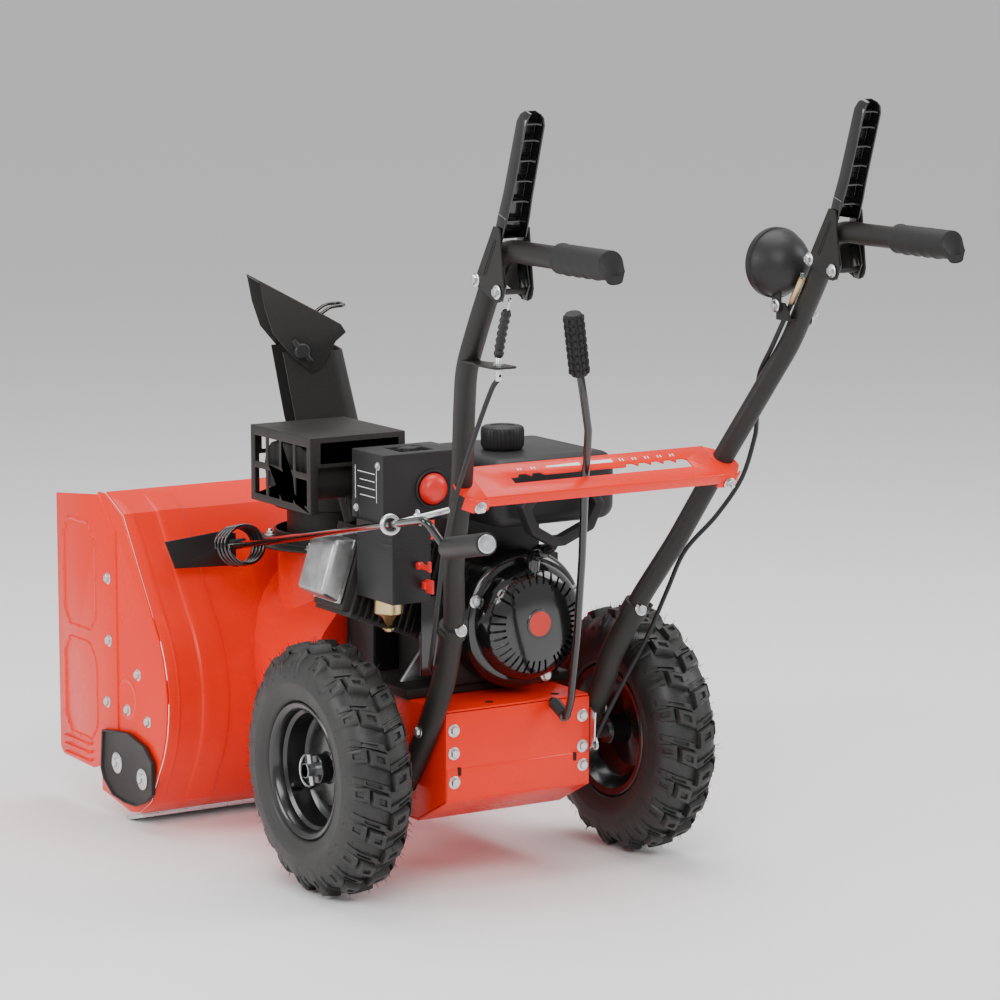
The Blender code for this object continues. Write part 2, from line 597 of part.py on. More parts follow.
def transmission():
    """Sheet-steel frame under the engine with the friction drive inside it."""
    front = DRUM_BACK - GAP
    side = [(FRAME_BACK, FRAME_TOP), (FRAME_BACK, 0.121), (-0.016, FRAME_BOTTOM), (front, FRAME_BOTTOM),
            (front, FRAME_TOP)]
    room = [(FRAME_BACK - 0.02, FRAME_TOP - SHEET), (FRAME_BACK - 0.02, 0.02), (front + 0.02, 0.02),
            (front + 0.02, FRAME_TOP - SHEET)]
    inside = FRAME_HALF - SHEET
    frame = prism(side, "X", -FRAME_HALF, FRAME_HALF)
    cut(frame,
        prism(room, "X", -inside, inside),
        disc(AXLE_R + GAP, (0, 0, AXLE_Z), (1, 0, 0), -0.2, 0.2, 16),
        box((-0.085, BELT_WALL + 0.006, FRAME_TOP - 0.02), (inside - 0.0005, front - 0.004, FRAME_TOP + 0.02)))
    wall = box((-inside - 0.001, BELT_WALL, FRAME_BOTTOM + 0.001), (inside + 0.001, BELT_WALL + SHEET, FRAME_TOP - 0.001))
    joined(frame, wall)
    disc_line = (0, 0, AXLE_Z)
    cut(frame, disc(0.0095, disc_line, (0, 1, 0), BELT_WALL - 0.01, BELT_WALL + 0.01, 12))
    piece("transmission_frame", frame, RED)

    skin = [(0.2035, FRAME_BOTTOM - GAP), (-0.0165, FRAME_BOTTOM - GAP),
            (FRAME_BACK - GAP, 0.1208), (FRAME_BACK - GAP, FRAME_TOP - 0.003)]
    cover = prism(ribbon(skin[::-1], -SHEET * 0.8), "X", -FRAME_HALF, FRAME_HALF)
    piece("rear_cover", cover, RED)

    hex_at = (0, HEX_Y, AXLE_Z)
    at = pivot("hex_shaft_axis", hex_at)
    gear_x = FRAME_HALF - 0.024
    end = inside - 0.0006
    shaft = disc(0.0075, hex_at, (1, 0, 0), -end, end, 6)
    joined(shaft, disc(HEX_PINION_R, hex_at, (1, 0, 0), gear_x - 0.001, gear_x + 0.009, 16, 0.005))
    piece("hex_shaft", shaft, STEEL, at)
    slide = pivot("friction_wheel_slide", (-0.012, HEX_Y, AXLE_Z), at)
    tyre = [(0.0095, -0.014), (0.016, -0.014), (0.016, -0.005), (FRICTION_R - 0.008, -0.005),
            (FRICTION_R, -0.004), (FRICTION_R, 0.004), (FRICTION_R - 0.008, 0.005), (0.016, 0.005),
            (0.016, 0.014), (0.0095, 0.014)]
    piece("friction_wheel", turned(tyre, (-0.012, HEX_Y, AXLE_Z), (1, 0, 0), ROUND), RUBBER, slide, True)

    disc_at = pivot("drive_disc_axis", disc_line)
    face = HEX_Y + FRICTION_R + GAP
    plate = disc(DISC_R, disc_line, (0, 1, 0), face, face + 0.006, 28)
    hub = disc(0.009, disc_line, (0, 1, 0), face + 0.001, 0.1595, 12)
    pulley = turned([(0.004, 0.1455), (DISC_PULLEY_R, 0.1455), (DISC_PULLEY_R, 0.147),
                     (DISC_PULLEY_R - 0.005, 0.149), (DISC_PULLEY_R - 0.005, 0.1575),
                     (DISC_PULLEY_R, 0.159), (DISC_PULLEY_R, 0.1598), (0.004, 0.1598)],
                    disc_line, (0, 1, 0), ROUND)
    joined(plate, hub, pulley)
    piece("drive_disc", plate, ALUMINIUM, disc_at)


def belt_loop(first, first_r, second, second_r):
    """The outline of a band stretched round two circles."""
    gap = math.hypot(second[0] - first[0], second[1] - first[1])
    heading = math.degrees(math.atan2(second[1] - first[1], second[0] - first[0]))
    lean = math.degrees(math.acos((first_r - second_r) / gap))
    return [*arc(first, first_r, heading + lean, heading + 360 - lean, 12),
            *arc(second, second_r, heading - lean, heading + lean, 12)]


def belts():
    """Two V-belts with their swinging idlers, and the cover over them."""
    engine = (CRANK_X, CRANK_Z)
    runs = {
        "auger_belt": (engine, ENGINE_PULLEY_R - 0.006, (0, IMPELLER_Z), IMPELLER_PULLEY_R - 0.006, 0.171, 0.179),
        "drive_belt": (engine, ENGINE_PULLEY_R - 0.010, (0, AXLE_Z), DISC_PULLEY_R - 0.005, 0.1495, 0.157),
    }
    for name, (first, r1, second, r2, low, high) in runs.items():
        outside = belt_loop(first, r1 + BELT, second, r2 + BELT)
        inside = belt_loop(first, r1 + 0.0013, second, r2 + 0.0013)
        loop = cut(prism(outside, "Y", low, high), prism(inside, "Y", low - 0.01, high + 0.01))
        piece(name, loop, RUBBER)

    for name, arm_at, wheel_at, y in (
            ("auger_idler", (0.100, 0.215), (0.0940, 0.276), 0.175),
            ("drive_idler", (-0.076, 0.222), (-0.0380, 0.272), 0.153)):
        at = pivot(f"{name}_axis", (arm_at[0], y, arm_at[1]))
        sign = 1 if arm_at[0] > 0 else -1
        roller = disc(0.013, (wheel_at[0], y, wheel_at[1]), (0, 1, 0), -0.004, 0.004, 16)
        along = Vector((wheel_at[0] - arm_at[0], 0, wheel_at[1] - arm_at[1]))
        arm = swept([(arm_at[0], y, arm_at[1]), Vector((arm_at[0], y, arm_at[1])) + along], 0.0035, 6)
        boss = disc(0.0055, (arm_at[0], y, arm_at[1]), (0, 1, 0), -0.004, 0.004, 10)
        piece(name, joined(roller, arm, boss), BLACK_PLASTIC if sign > 0 else STEEL, at)

    low = Vector((-0.088, BELT_WALL - 0.0045, FRAME_TOP + GAP))
    high = Vector((0.122, DRUM_BACK - GAP, 0.408))
    wall = 0.0025
    cover = box(low, high)
    cut(cover,
        box((low.x + wall, low.y + wall, low.z - 0.02), (high.x - wall, high.y + 0.02, high.z - wall)),
        disc(0.014, (CRANK_X, 0, CRANK_Z), (0, 1, 0), low.y - 0.02, low.y + 0.02, 14))
    piece("belt_cover", cover, BLACK_PLASTIC)


# --------------------------------------------------------------- engine

ENGINE_FRONT = 0.132
HEAD = Vector((-0.9511, 0, 0.3090))       # from the crankshaft towards the cylinder head
HEAD_UP = Vector((0.3090, 0, 0.9511))


def head_outline(near, far, half_near, half_far):
    centre = Vector((CRANK_X, 0, CRANK_Z))
    corners = [centre + HEAD * near + HEAD_UP * half_near, centre + HEAD * far + HEAD_UP * half_far,
               centre + HEAD * far - HEAD_UP * half_far, centre + HEAD * near - HEAD_UP * half_near]
    return [(c.x, c.z) for c in corners]


def engine():
    """Slant-cylinder engine: case, head, shroud, recoil starter, tank, carburettor and silencer."""
    feet = FRAME_TOP + GAP
    back = (0, -1, 0)
    case = box((-0.052, 0.000, feet + 0.011), (0.118, ENGINE_FRONT, 0.415))
    base = box((-0.116, 0.002, feet), (0.136, ENGINE_FRONT - 0.002, feet + 0.013))
    cylinder = prism(head_outline(0.080, 0.235, 0.055, 0.050), "Y", 0.016, 0.092)
    joined(case, base, cylinder)
    cut(case, disc(0.013, (CRANK_X, 0, CRANK_Z), (0, 1, 0), -0.05, 0.20, 14))
    piece("crankcase", case, BLACK_PAINT)
    piece("valve_cover", prism(head_outline(0.2353, 0.268, 0.043, 0.036), "Y", 0.020, 0.088), ALUMINIUM)

    centre = (CRANK_X, 0, CRANK_Z)
    rear = -RECOIL_BACK
    shroud = turned([(RECOIL_R, GAP), (RECOIL_R, rear - 0.012), (RECOIL_R - 0.010, rear),
                     (0.060, rear), (0.060, rear - SHEET), (RECOIL_R - 0.012, rear - SHEET),
                     (RECOIL_R - SHEET, rear - 0.014), (RECOIL_R - SHEET, GAP)], centre, back, 28)
    side_cover = box((-0.098, -0.006, 0.270), (CRANK_X - RECOIL_R + 0.012, -GAP, 0.376))
    joined(shroud, side_cover)
    piece("blower_housing", shroud, GLOSS_BLACK, machine, True)
    recoil = turned([(0.078, rear + GAP), (0.078, rear + 0.012), (0.066, rear + 0.028), (0.020, rear + 0.0335),
                     (0.020, rear + 0.031), (0.064, rear + 0.0255), (0.0755, rear + 0.011),
                     (0.0755, rear + GAP)], centre, back, 28)
    guide = swept([(CRANK_X, -rear - 0.016, CRANK_Z + 0.058), (CRANK_X, -rear - 0.0185, CRANK_Z + 0.084),
                   (CRANK_X, -rear - 0.030, CRANK_Z + 0.094), (CRANK_X, -rear - 0.047, CRANK_Z + 0.098)],
                  0.0092, 10)
    piece("recoil_cover", joined(recoil, guide), GLOSS_BLACK, machine, True)

    at = pivot("crankshaft_axis", (CRANK_X, 0, CRANK_Z))
    forward = (0, 1, 0)
    flywheel = RECOIL_R - 0.013
    shaft = turned([(0, -0.060), (0.011, -0.060), (0.011, -0.036), (flywheel, -0.036), (flywheel, -0.010),
                    (0.011, -0.010), (0.011, 0.1455), (ENGINE_PULLEY_R - 0.004, 0.1455),
                    (ENGINE_PULLEY_R - 0.004, 0.147), (ENGINE_PULLEY_R - 0.010, 0.149),
                    (ENGINE_PULLEY_R - 0.010, 0.1575), (ENGINE_PULLEY_R - 0.004, 0.160),
                    (ENGINE_PULLEY_R, 0.168), (ENGINE_PULLEY_R - 0.006, 0.1705),
                    (ENGINE_PULLEY_R - 0.006, 0.1795), (ENGINE_PULLEY_R, 0.182), (ENGINE_PULLEY_R, 0.185),
                    (0, 0.185)], centre, forward, ROUND)
    piece("crankshaft", shaft, STEEL, at, True)

    tank_low, tank_high = Vector((-0.038, -0.095, 0.470)), Vector((0.150, 0.105, 0.560))
    ease = 0.022
    x0, y0, x1, y1 = tank_low.x, tank_low.y, tank_high.x, tank_high.y
    outline = [(x0 + ease, y0), (x1 - ease, y0), (x1, y0 + ease), (x1, y1 - ease), (x1 - ease, y1),
               (x0 + ease, y1), (x0, y1 - ease), (x0, y0 + ease)]
    tank = prism(outline, "Z", tank_low.z, tank_high.z)
    neck = box((-0.02, 0.02, 0.4155), (0.10, 0.09, tank_low.z + 0.004))
    piece("fuel_tank", joined(tank, neck), BLACK_PLASTIC)
    cap_at = (0.030, 0.0, tank_high.z)
    turn = pivot("fuel_cap_axis", cap_at)
    cap = turned([(0, GAP), (0.026, GAP), (0.029, 0.008), (0.029, 0.026), (0.026, 0.031), (0, 0.031)],
                 cap_at, (0, 0, 1), ROUND)
    piece("fuel_cap", cap, BLACK_PLASTIC, turn, True)


def carburettor():
    """Heater box round the carburettor, with choke, primer, key and throttle on it."""
    primer_at = (-0.107, -0.050, 0.525)
    upper = box((-0.180, -0.050, 0.484), (-0.060, 0.030, 0.573))
    lower = box((-0.185, -0.082, 0.385), (-0.128, 0.010, 0.486))
    joined(upper, lower)
    cut(upper,
        box((-0.181, -0.078, 0.350), (-0.132, 0.03, 0.450)),
        box((-0.142, -0.033, 0.5615), (-0.094, 0.015, 0.60)),
        disc(0.0212, primer_at, (0, 1, 0), -0.01, 0.009, 20))
    piece("heater_box", upper, BLACK_PLASTIC)
    body = box((-0.177, -0.060, 0.392), (-0.137, 0.0150, 0.445))
    bowl = turned([(0, 0.050), (0.010, 0.034), (0.019, 0.030), (0.019, -0.004), (0, -0.004)],
                  (-0.157, -0.024, 0.394), (0, 0, -1), 16)
    piece("carburettor", joined(body, bowl), YELLOW_ZINC)

    choke_at = (-0.118, -0.009, 0.5615)
    turn = pivot("choke_axis", choke_at)
    knob = disc(0.011, choke_at, (0, 0, 1), GAP, 0.013, 14)
    joined(knob, box((-0.134, -0.013, 0.5655), (-0.102, -0.005, 0.5745)))
    piece("choke_knob", knob, BLACK_PLASTIC, turn)

    push = pivot("primer_axis", primer_at)
    dome = turned([(0, GAP), (0.019, GAP), (0.0205, 0.0035), (0.016, 0.0115), (0.008, 0.015), (0, 0.0157)],
                  primer_at, (0, -1, 0), 20)
    piece("primer_bulb", dome, RED_PLASTIC, push, True)

    key_at = (-0.140, -0.082, 0.408)
    pull = pivot("key_axis", key_at)
    key = box((-0.143, -0.091, 0.403), (-0.137, -0.0823, 0.413))
    joined(key, box((-0.1415, -0.108, 0.399), (-0.1385, -0.090, 0.417)))
    piece("ignition_key", key, RED_PLASTIC, pull)

    throttle_at = (-0.148, -0.0875, 0.434)
    swing = pivot("throttle_axis", throttle_at)
    lever = disc(0.0050, throttle_at, (1, 0, 0), -0.004, 0.004, 12)
    joined(lever, box((-0.1495, -0.113, 0.4305), (-0.1465, -0.088, 0.4375)),
           box((-0.1495, -0.115, 0.4290), (-0.1465, -0.109, 0.4430)))
    piece("throttle_lever", lever, RED_PLASTIC, swing)


def silencer():
    """The exhaust silencer on the head, inside its guard of bars under a heat plate."""
    box_path = [*arc((0.110, 0.532), 0.037, 90, 270, 6), *arc((0.172, 0.532), 0.037, -90, 90, 6)]
    shape = prism(box_path, "X", -0.212, -0.094)
    pipe = swept([(-0.150, 0.104, 0.505), (-0.150, 0.082, 0.4640)], 0.010, 10)
    piece("muffler", joined(shape, pipe), BLACK_PAINT)

    low, high = Vector((-0.224, 0.060, 0.485)), Vector((-0.082, 0.222, 0.585))
    wall = 0.0022
    guard = box(low, high)
    short = 0.545
    cuts = [box((low.x + wall, low.y + wall, low.z - 0.02), (high.x - wall, high.y - wall, high.z - wall)),
            box((low.x + 0.012, low.y - 0.01, low.z - 0.01), (high.x + 0.01, high.y + 0.01, short))]
    for k in range(4):
        y = low.y + 0.010 + k * 0.037
        for z in (low.z + 0.010, low.z + 0.053):
            cuts.append(box((low.x - 0.01, y, z), (low.x + 0.01, y + 0.030, z + 0.034)))
    for k in range(3):
        x = low.x + 0.016 + k * 0.041
        cuts.append(box((x, low.y - 0.01, short + 0.006), (x + 0.033, high.y + 0.01, high.z - 0.008)))
    cut(guard, *cuts)
    stay = box((-0.156, 0.118, 0.5688), (-0.144, 0.130, high.z - wall + 0.001))
    cut(stay, box((-0.2, 0.1, 0.5), (-0.1, 0.2, 0.5693)))
    joined(guard, stay)
    piece("muffler_guard", guard, BLACK_PAINT)


def recoil_grip():
    """D-shaped pull handle that rests on the rope guide of the starter."""
    at = pivot("starter_pull", (CRANK_X, -0.118, 0.487))
    loop = [(-0.002, 0.524), (-0.020, 0.503), (-0.004, 0.466), (0.028, 0.448), (0.046, 0.448), (0.090, 0.466),
            (0.107, 0.501), (0.086, 0.524)]
    hole = [(0.008, 0.513), (-0.005, 0.499), (0.006, 0.476), (0.032, 0.461), (0.043, 0.461), (0.080, 0.476),
            (0.093, 0.500), (0.081, 0.513)]
    grip = prism(loop, "Y", -0.129, -0.109)
    cut(grip, prism(hole, "Y", -0.2, -0.05))
    stem = swept([(CRANK_X, -0.119, 0.456), (CRANK_X, -0.1155, 0.446), (CRANK_X, -0.108, 0.4405),
                  (CRANK_X, -0.0985, 0.4385)], 0.0055, 8)
    piece("starter_grip", joined(grip, stem), BLACK_PLASTIC, at)


# -------------------------------------------------------------- controls

PANEL_Y = -0.270
PANEL_Z = 0.566
PANEL_TILT = math.radians(29.5)


def handle_route(sign):
    """The bent handlebar tube from the joint with the lower tube to the back of the grip."""
    points = [(0.13862, -0.15114, 0.3606), (0.1428, -0.1628, 0.3815), (0.168, -0.204, 0.457),
              (0.195, -0.268, 0.571), (0.226, -0.326, 0.679), (0.2365, -0.349, 0.720),
              (HANDLE_X, -0.400, 0.806), (HANDLE_X, -0.4235, 0.847), (HANDLE_X, -0.438, 0.862),
              (HANDLE_X, -0.460, GRIP_CENTRE_Z), (HANDLE_X, -0.655, GRIP_CENTRE_Z)]
    return [(sign * x, y, z) for x, y, z in points]


PIVOT_Y = -0.459
PIVOT_Z = 0.8215
CABLE_Y = -0.4270


def handlebars():
    """Lower and upper tubes, rubber grips, lever forks and the brackets welded on."""
    for side, sign in SIDES:
        foot_x = sign * (FRAME_HALF + LOWER_TUBE_R + 0.001)
        top = Vector((sign * 0.1385, -0.1508, 0.3600))
        lower = swept([(foot_x, -0.012, 0.133), (foot_x, -0.040, 0.171), (foot_x, -0.071, 0.217),
                       (foot_x, -0.116, 0.299), top],
                      LOWER_TUBE_R, 12)
        piece(f"lower_handle_{side}", lower, BLACK_PAINT, machine, True)

        tube = swept(handle_route(sign), UPPER_TUBE_R, 12)
        pieces = []
        ear = [(PIVOT_Y + 0.054, PIVOT_Z + 0.006), (PIVOT_Y + 0.010, PIVOT_Z + 0.076),
               (PIVOT_Y - 0.003, PIVOT_Z + 0.074), (PIVOT_Y - 0.012, PIVOT_Z + 0.003),
               (PIVOT_Y - 0.007, PIVOT_Z - 0.011), (PIVOT_Y + 0.007, PIVOT_Z - 0.012)]
        for offset in (-1, 1):
            x = sign * HANDLE_X + offset * 0.0190
            low, high = sorted((x, x + offset * 0.002))
            pieces.append(prism(ear, "X", low, high))
        spread = 0.0225
        pin_low, pin_high = sign * HANDLE_X - spread, sign * HANDLE_X + spread
        pieces.append(disc(0.0035, (0, PIVOT_Y, PIVOT_Z), (1, 0, 0), pin_low, pin_high, 10))
        strap = box((sign * HANDLE_X - 0.0205, -0.4125, 0.826), (sign * HANDLE_X + 0.0205, -0.4085, 0.838))
        pieces.append(strap)
        if sign < 0:
            ring = turned([(0.0062, -0.002), (0.0135, -0.002), (0.0135, 0.002), (0.0062, 0.002)],
                          CRANK_EYE, CRANK_EYE - WORM_END, 16)
            shank_end = Vector((-0.186, -0.247, 0.534))
            towards = (shank_end - CRANK_EYE).normalized()
            pieces += [ring, swept([CRANK_EYE + towards * 0.010, shank_end + towards * 0.004], 0.0038, 8)]
            tab = box((-0.257, -0.446, 0.7290), (-0.225, -0.356, 0.7315))
            hole = disc(0.0056, (-HANDLE_X, CABLE_Y, 0.730), (0, 0, 1), -0.02, 0.02, 10)
            cut(tab, hole)
            pieces.append(tab)
        else:
            pieces.append(box((0.2146, -0.376, 0.752), (0.2174, -0.350, 0.774)))
            pieces.append(box((0.2150, -0.3757, 0.7522), (0.2385, -0.366, 0.755)))
        joined(tube, *pieces)
        piece(f"upper_handle_{side}", tube, BLACK_PAINT, machine, True)

        grip_x = sign * HANDLE_X
        tip = REAR_END + 0.002
        route = [(grip_x, -0.562, GRIP_CENTRE_Z), (grip_x, -0.640, GRIP_CENTRE_Z),
                 (grip_x, tip + 0.006, GRIP_CENTRE_Z - 0.003), (grip_x, tip, GRIP_CENTRE_Z - 0.018)]
        grip = swept(route, GRIP_R, 12, [GRIP_R, GRIP_R, GRIP_R * 0.95, GRIP_R * 0.62])
        end_trim = box((grip_x - 0.05, REAR_END - 0.05, 0.80), (grip_x + 0.05, REAR_END, 0.95))
        cut(grip, disc(UPPER_TUBE_R * 1.04 + GAP, (grip_x, 0, GRIP_CENTRE_Z), (0, -1, 0), 0.45, 0.6555, 12), end_trim)
        piece(f"grip_{side}", grip, RUBBER, machine, True)


def clutch_levers():
    """Pressed channels on forked feet that straddle the handle tubes."""
    for side, name in ((-1, "auger_lever"), (1, "drive_lever")):
        x = side * HANDLE_X
        at = pivot(f"{name}_axis", (x, PIVOT_Y, PIVOT_Z))
        foot = Vector((x, PIVOT_Y, PIVOT_Z))
        along = Vector((0, -0.310, 0.951)).normalized()
        front = Vector((0, along.z, -along.y))
        length = (LEVER_TOP_Z - PIVOT_Z - 0.0105) / along.z

        def spot(far, out):
            p = foot + along * far + front * out
            return p.y, p.z

        def section(far, half, back, face, wall=0.0022):
            corners = [(-half, back), (-half, face), (half, face), (half, back), (half - wall, back),
                       (half - wall, face - wall), (wall - half, face - wall), (wall - half, back)]
            return [foot + along * far + front * out + Vector((across, 0, 0)) for across, out in corners]

        body = lofted([section(0.060, 0.0168, 0.0165, 0.0345), section(0.088, 0.0160, 0.0155, 0.0345),
                       section(0.112, 0.0145, 0.0150, 0.0345), section(length - 0.014, 0.0138, 0.0150, 0.0345),
                       section(length - 0.005, 0.0115, 0.0160, 0.0330), section(length, 0.0070, 0.0180, 0.0300)])
        fork = [spot(-0.010, -0.006), spot(-0.012, 0.003), spot(0.000, 0.012), spot(0.040, 0.0335),
                spot(0.084, 0.0335), spot(0.084, 0.0175), spot(0.050, 0.0165), spot(0.010, -0.008)]
        inner, outer = 0.0150, 0.0172
        joined(body, prism(fork, "X", x - outer, x - inner), prism(fork, "X", x + inner, x + outer))
        cut(body, disc(0.0040, (0, PIVOT_Y, PIVOT_Z), (1, 0, 0), x - 0.03, x + 0.03, 10))
        piece(name, body, GLOSS_BLACK, at)


LEVER_AT = Vector((0.050, -0.125, 0.222))
LEVER_AXIS = Vector((0, math.cos(math.radians(25.1)), math.sin(math.radians(25.1))))


def shift_controls():
    """Slotted cross panel between the bars, and the gear lever that swings in its slot."""
    outward, inward = -PANEL_HALF_DEPTH, PANEL_HALF_DEPTH
    half = 0.1775

    def spot(depth, height):
        y = PANEL_Y + depth * math.cos(PANEL_TILT) - height * math.sin(PANEL_TILT)
        z = PANEL_Z + depth * math.sin(PANEL_TILT) + height * math.cos(PANEL_TILT)
        return y, z

    thick = 0.0022
    section = [spot(outward, 0), spot(inward, 0), spot(inward, thick), spot(outward - thick, thick),
               spot(outward - thick, -0.012), spot(outward, -0.012)]
    panel = prism(section, "X", -half, half)
    slot = [spot(-0.009, -0.01), spot(0.009, -0.01), spot(0.009, 0.01), spot(-0.009, 0.01)]
    cut(panel, prism(slot, "X", -0.125, 0.140))
    piece("shift_panel", panel, RED)

    at = pivot("shift_lever_axis", LEVER_AT)
    pin_end = LEVER_AT + LEVER_AXIS * ((FRAME_BACK - SHEET - 0.0030 - LEVER_AT.y) / LEVER_AXIS.y)
    rod = swept([pin_end, LEVER_AT + LEVER_AXIS * 0.006, (0.0497, -0.1275, 0.2275), (0.046, -0.1420, 0.250),
                 (0.032, -0.1765, 0.334), (0.012, -0.2190, 0.446), (-0.0165, -0.2700, 0.566),
                 (-0.026, -0.2905, 0.623), (-0.050, -0.306, 0.705)], ROD_R, 8)
    grip = swept([(-0.048, -0.3045, 0.696), (-0.068, -0.320, 0.773)], 0.0135, 10)
    piece("shift_lever", joined(rod, grip), BLACK_PAINT, at)


def headlight():
    """Round work light on a tab of the right handlebar."""
    hinge = (0.2125, -0.354, 0.770)
    at = pivot("headlight_axis", hinge)
    centre = (0.222, -0.358, 0.822)
    lamp = turned([(0, -0.026), (0.016, -0.024), (0.030, -0.013), (0.041, 0.006), (0.0445, 0.017),
                   (0.0445, 0.024), (0, 0.024)], centre, (0, 1, 0), ROUND)
    stem = box((0.2108, -0.362, 0.764), (0.2142, -0.346, 0.792))
    piece("headlight", joined(lamp, stem), BLACK_PLASTIC, at, True)


def control_cables():
    """Clutch cables from the levers down to the machine: one by its tab, one along its tube."""
    auger_run = [(-HANDLE_X, CABLE_Y, 0.726), (-0.2405, -0.4123, 0.7034), (-0.239, -0.384, 0.664),
                 (-0.231, -0.345, 0.618), (-0.219, -0.302, 0.572), (-0.211, -0.270, 0.530),
                 (-0.199, -0.232, 0.480), (-0.184, -0.196, 0.425), (-0.170, -0.162, 0.370),
                 (-0.155, -0.128, 0.325), (-0.132, -0.088, 0.300), (-0.106, -0.068, 0.270),
                 (-0.094, -0.062, 0.2435)]
    sheath = swept(smooth_route(auger_run, 5), 0.0032, 6)
    adjuster = disc(0.0050, (-HANDLE_X, CABLE_Y, 0.714), (0, 0, 1), 0.0, 0.030, 10)
    bellows = swept([(-HANDLE_X, CABLE_Y, 0.742), (-HANDLE_X, -0.4340, 0.752), (-HANDLE_X, -0.4450, 0.797)],
                    0.0066, 10)
    wire = swept([(-HANDLE_X, -0.4445, 0.793), (-HANDLE_X, -0.4520, 0.8105)], 0.0014, 6)
    piece("auger_cable", joined(sheath, adjuster, bellows, wire), BLACK_PLASTIC)

    drive_run = [(0.2228, -0.3920, 0.806), (0.2228, -0.371, 0.774), (0.2205, -0.334, 0.716),
                 (0.2240, -0.304, 0.680), (0.2400, -0.276, 0.644), (0.2540, -0.256, 0.608),
                 (0.2577, -0.246, 0.585), (0.2500, -0.230, 0.533), (0.2260, -0.209, 0.484),
                 (0.1970, -0.180, 0.436), (0.1900, -0.150, 0.380), (0.1830, -0.118, 0.318),
                 (0.1600, -0.102, 0.262), (0.1350, -0.096, 0.215), (0.1170, -0.091, 0.178)]
    sheath = swept(smooth_route(drive_run, 5), 0.0032, 6)
    sleeve = swept([(0.2228, -0.3925, 0.807), (0.2228, -0.371, 0.774)], 0.0045, 10)
    piece("drive_cable", joined(sheath, sleeve), BLACK_PLASTIC)


intake_housing()
impeller_housing()
impeller()
auger()
chute()
chute_crank()
clean_out_tool()
wheels()
transmission()
belts()
engine()
carburettor()
silencer()
recoil_grip()
handlebars()
clutch_levers()
shift_controls()
headlight()
control_cables()
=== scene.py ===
import json
import math
import random

import bmesh
import bpy
from mathutils import Euler, Matrix, Vector


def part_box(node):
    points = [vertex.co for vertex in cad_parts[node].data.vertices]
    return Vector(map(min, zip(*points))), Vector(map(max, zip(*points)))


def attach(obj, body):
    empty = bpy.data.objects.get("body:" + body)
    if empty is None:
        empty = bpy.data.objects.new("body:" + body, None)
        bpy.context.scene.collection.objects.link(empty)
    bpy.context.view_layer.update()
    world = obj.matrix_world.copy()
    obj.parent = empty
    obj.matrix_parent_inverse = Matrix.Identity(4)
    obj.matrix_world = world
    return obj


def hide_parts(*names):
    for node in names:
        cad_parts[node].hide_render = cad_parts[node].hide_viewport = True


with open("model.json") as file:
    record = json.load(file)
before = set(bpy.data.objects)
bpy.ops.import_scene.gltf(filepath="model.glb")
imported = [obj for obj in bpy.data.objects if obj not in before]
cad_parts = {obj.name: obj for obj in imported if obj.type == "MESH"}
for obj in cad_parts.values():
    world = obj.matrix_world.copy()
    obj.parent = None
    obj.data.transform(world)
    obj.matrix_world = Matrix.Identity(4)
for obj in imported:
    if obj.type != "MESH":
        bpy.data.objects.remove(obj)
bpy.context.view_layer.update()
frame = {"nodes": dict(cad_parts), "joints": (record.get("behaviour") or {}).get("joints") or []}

# ------------------------------------------------------------------ studio
# A pale floor and three soft boxes round the machine, seen from behind its left
# rear corner, a little above the handlebars.

joints = {joint["name"]: joint for joint in frame["joints"]}
axle_at = Vector(joints["axle_turn"]["pos_m"])


def spot(x, y, z):
    """A place measured across and along from the middle of the axle, and up from the ground."""
    return Vector((axle_at.x + x, axle_at.y + y, z))


view_turn = math.radians(-31.858)
view_rise = math.radians(9.004)
view_distance = 4.971
aim = spot(0, -0.0423, 0.5002)
towards_camera = Vector((math.sin(view_turn) * math.cos(view_rise),
                         -math.cos(view_turn) * math.cos(view_rise), math.sin(view_rise)))
camera = bpy.data.objects.new("camera", bpy.data.cameras.new("camera"))
camera.data.sensor_width = 36
camera.data.lens = 137.95
camera.location = aim + towards_camera * view_distance
camera.rotation_euler = (-towards_camera).to_track_quat("-Z", "Y").to_euler()
bpy.context.scene.collection.objects.link(camera)
bpy.context.scene.camera = camera

for light_name, light_at, light_size, power in (
        ("key_box", (-1.9, -2.6, 2.6), 1.9, 82), ("side_box", (-3.4, 0.9, 1.7), 1.6, 60),
        ("right_box", (2.9, -1.8, 2.3), 1.7, 60), ("top_box", (0.3, 0.6, 3.6), 2.6, 95)):
    light = bpy.data.objects.new(light_name, bpy.data.lights.new(light_name, "AREA"))
    light.data.size = light_size
    light.data.energy = power
    light.location = light_at
    light.rotation_euler = (Vector((0, 0, 0.45)) - light.location).to_track_quat("-Z", "Y").to_euler()
    bpy.context.scene.collection.objects.link(light)
world = bpy.data.worlds.new("studio")
world.use_nodes = True
world.node_tree.nodes["Background"].inputs["Color"].default_value = (1, 1, 1, 1)
world.node_tree.nodes["Background"].inputs["Strength"].default_value = 0.62
bpy.context.scene.world = world

floor_half = 40
floor_mesh = bpy.data.meshes.new("floor")
floor_mesh.from_pydata([(-floor_half, -floor_half, -0.001), (floor_half, -floor_half, -0.001),
                        (floor_half, floor_half, -0.001), (-floor_half, floor_half, -0.001)], [],
                       [(0, 1, 2, 3)])
floor = bpy.data.objects.new("floor", floor_mesh)
floor_paint = bpy.data.materials.new("floor_paint")
floor_paint.use_nodes = True
floor_paint.node_tree.nodes["Principled BSDF"].inputs["Base Color"].default_value = (0.93, 0.93, 0.93, 1)
floor_paint.node_tree.nodes["Principled BSDF"].inputs["Roughness"].default_value = 0.9
floor_mesh.materials.append(floor_paint)
bpy.context.scene.collection.objects.link(floor)

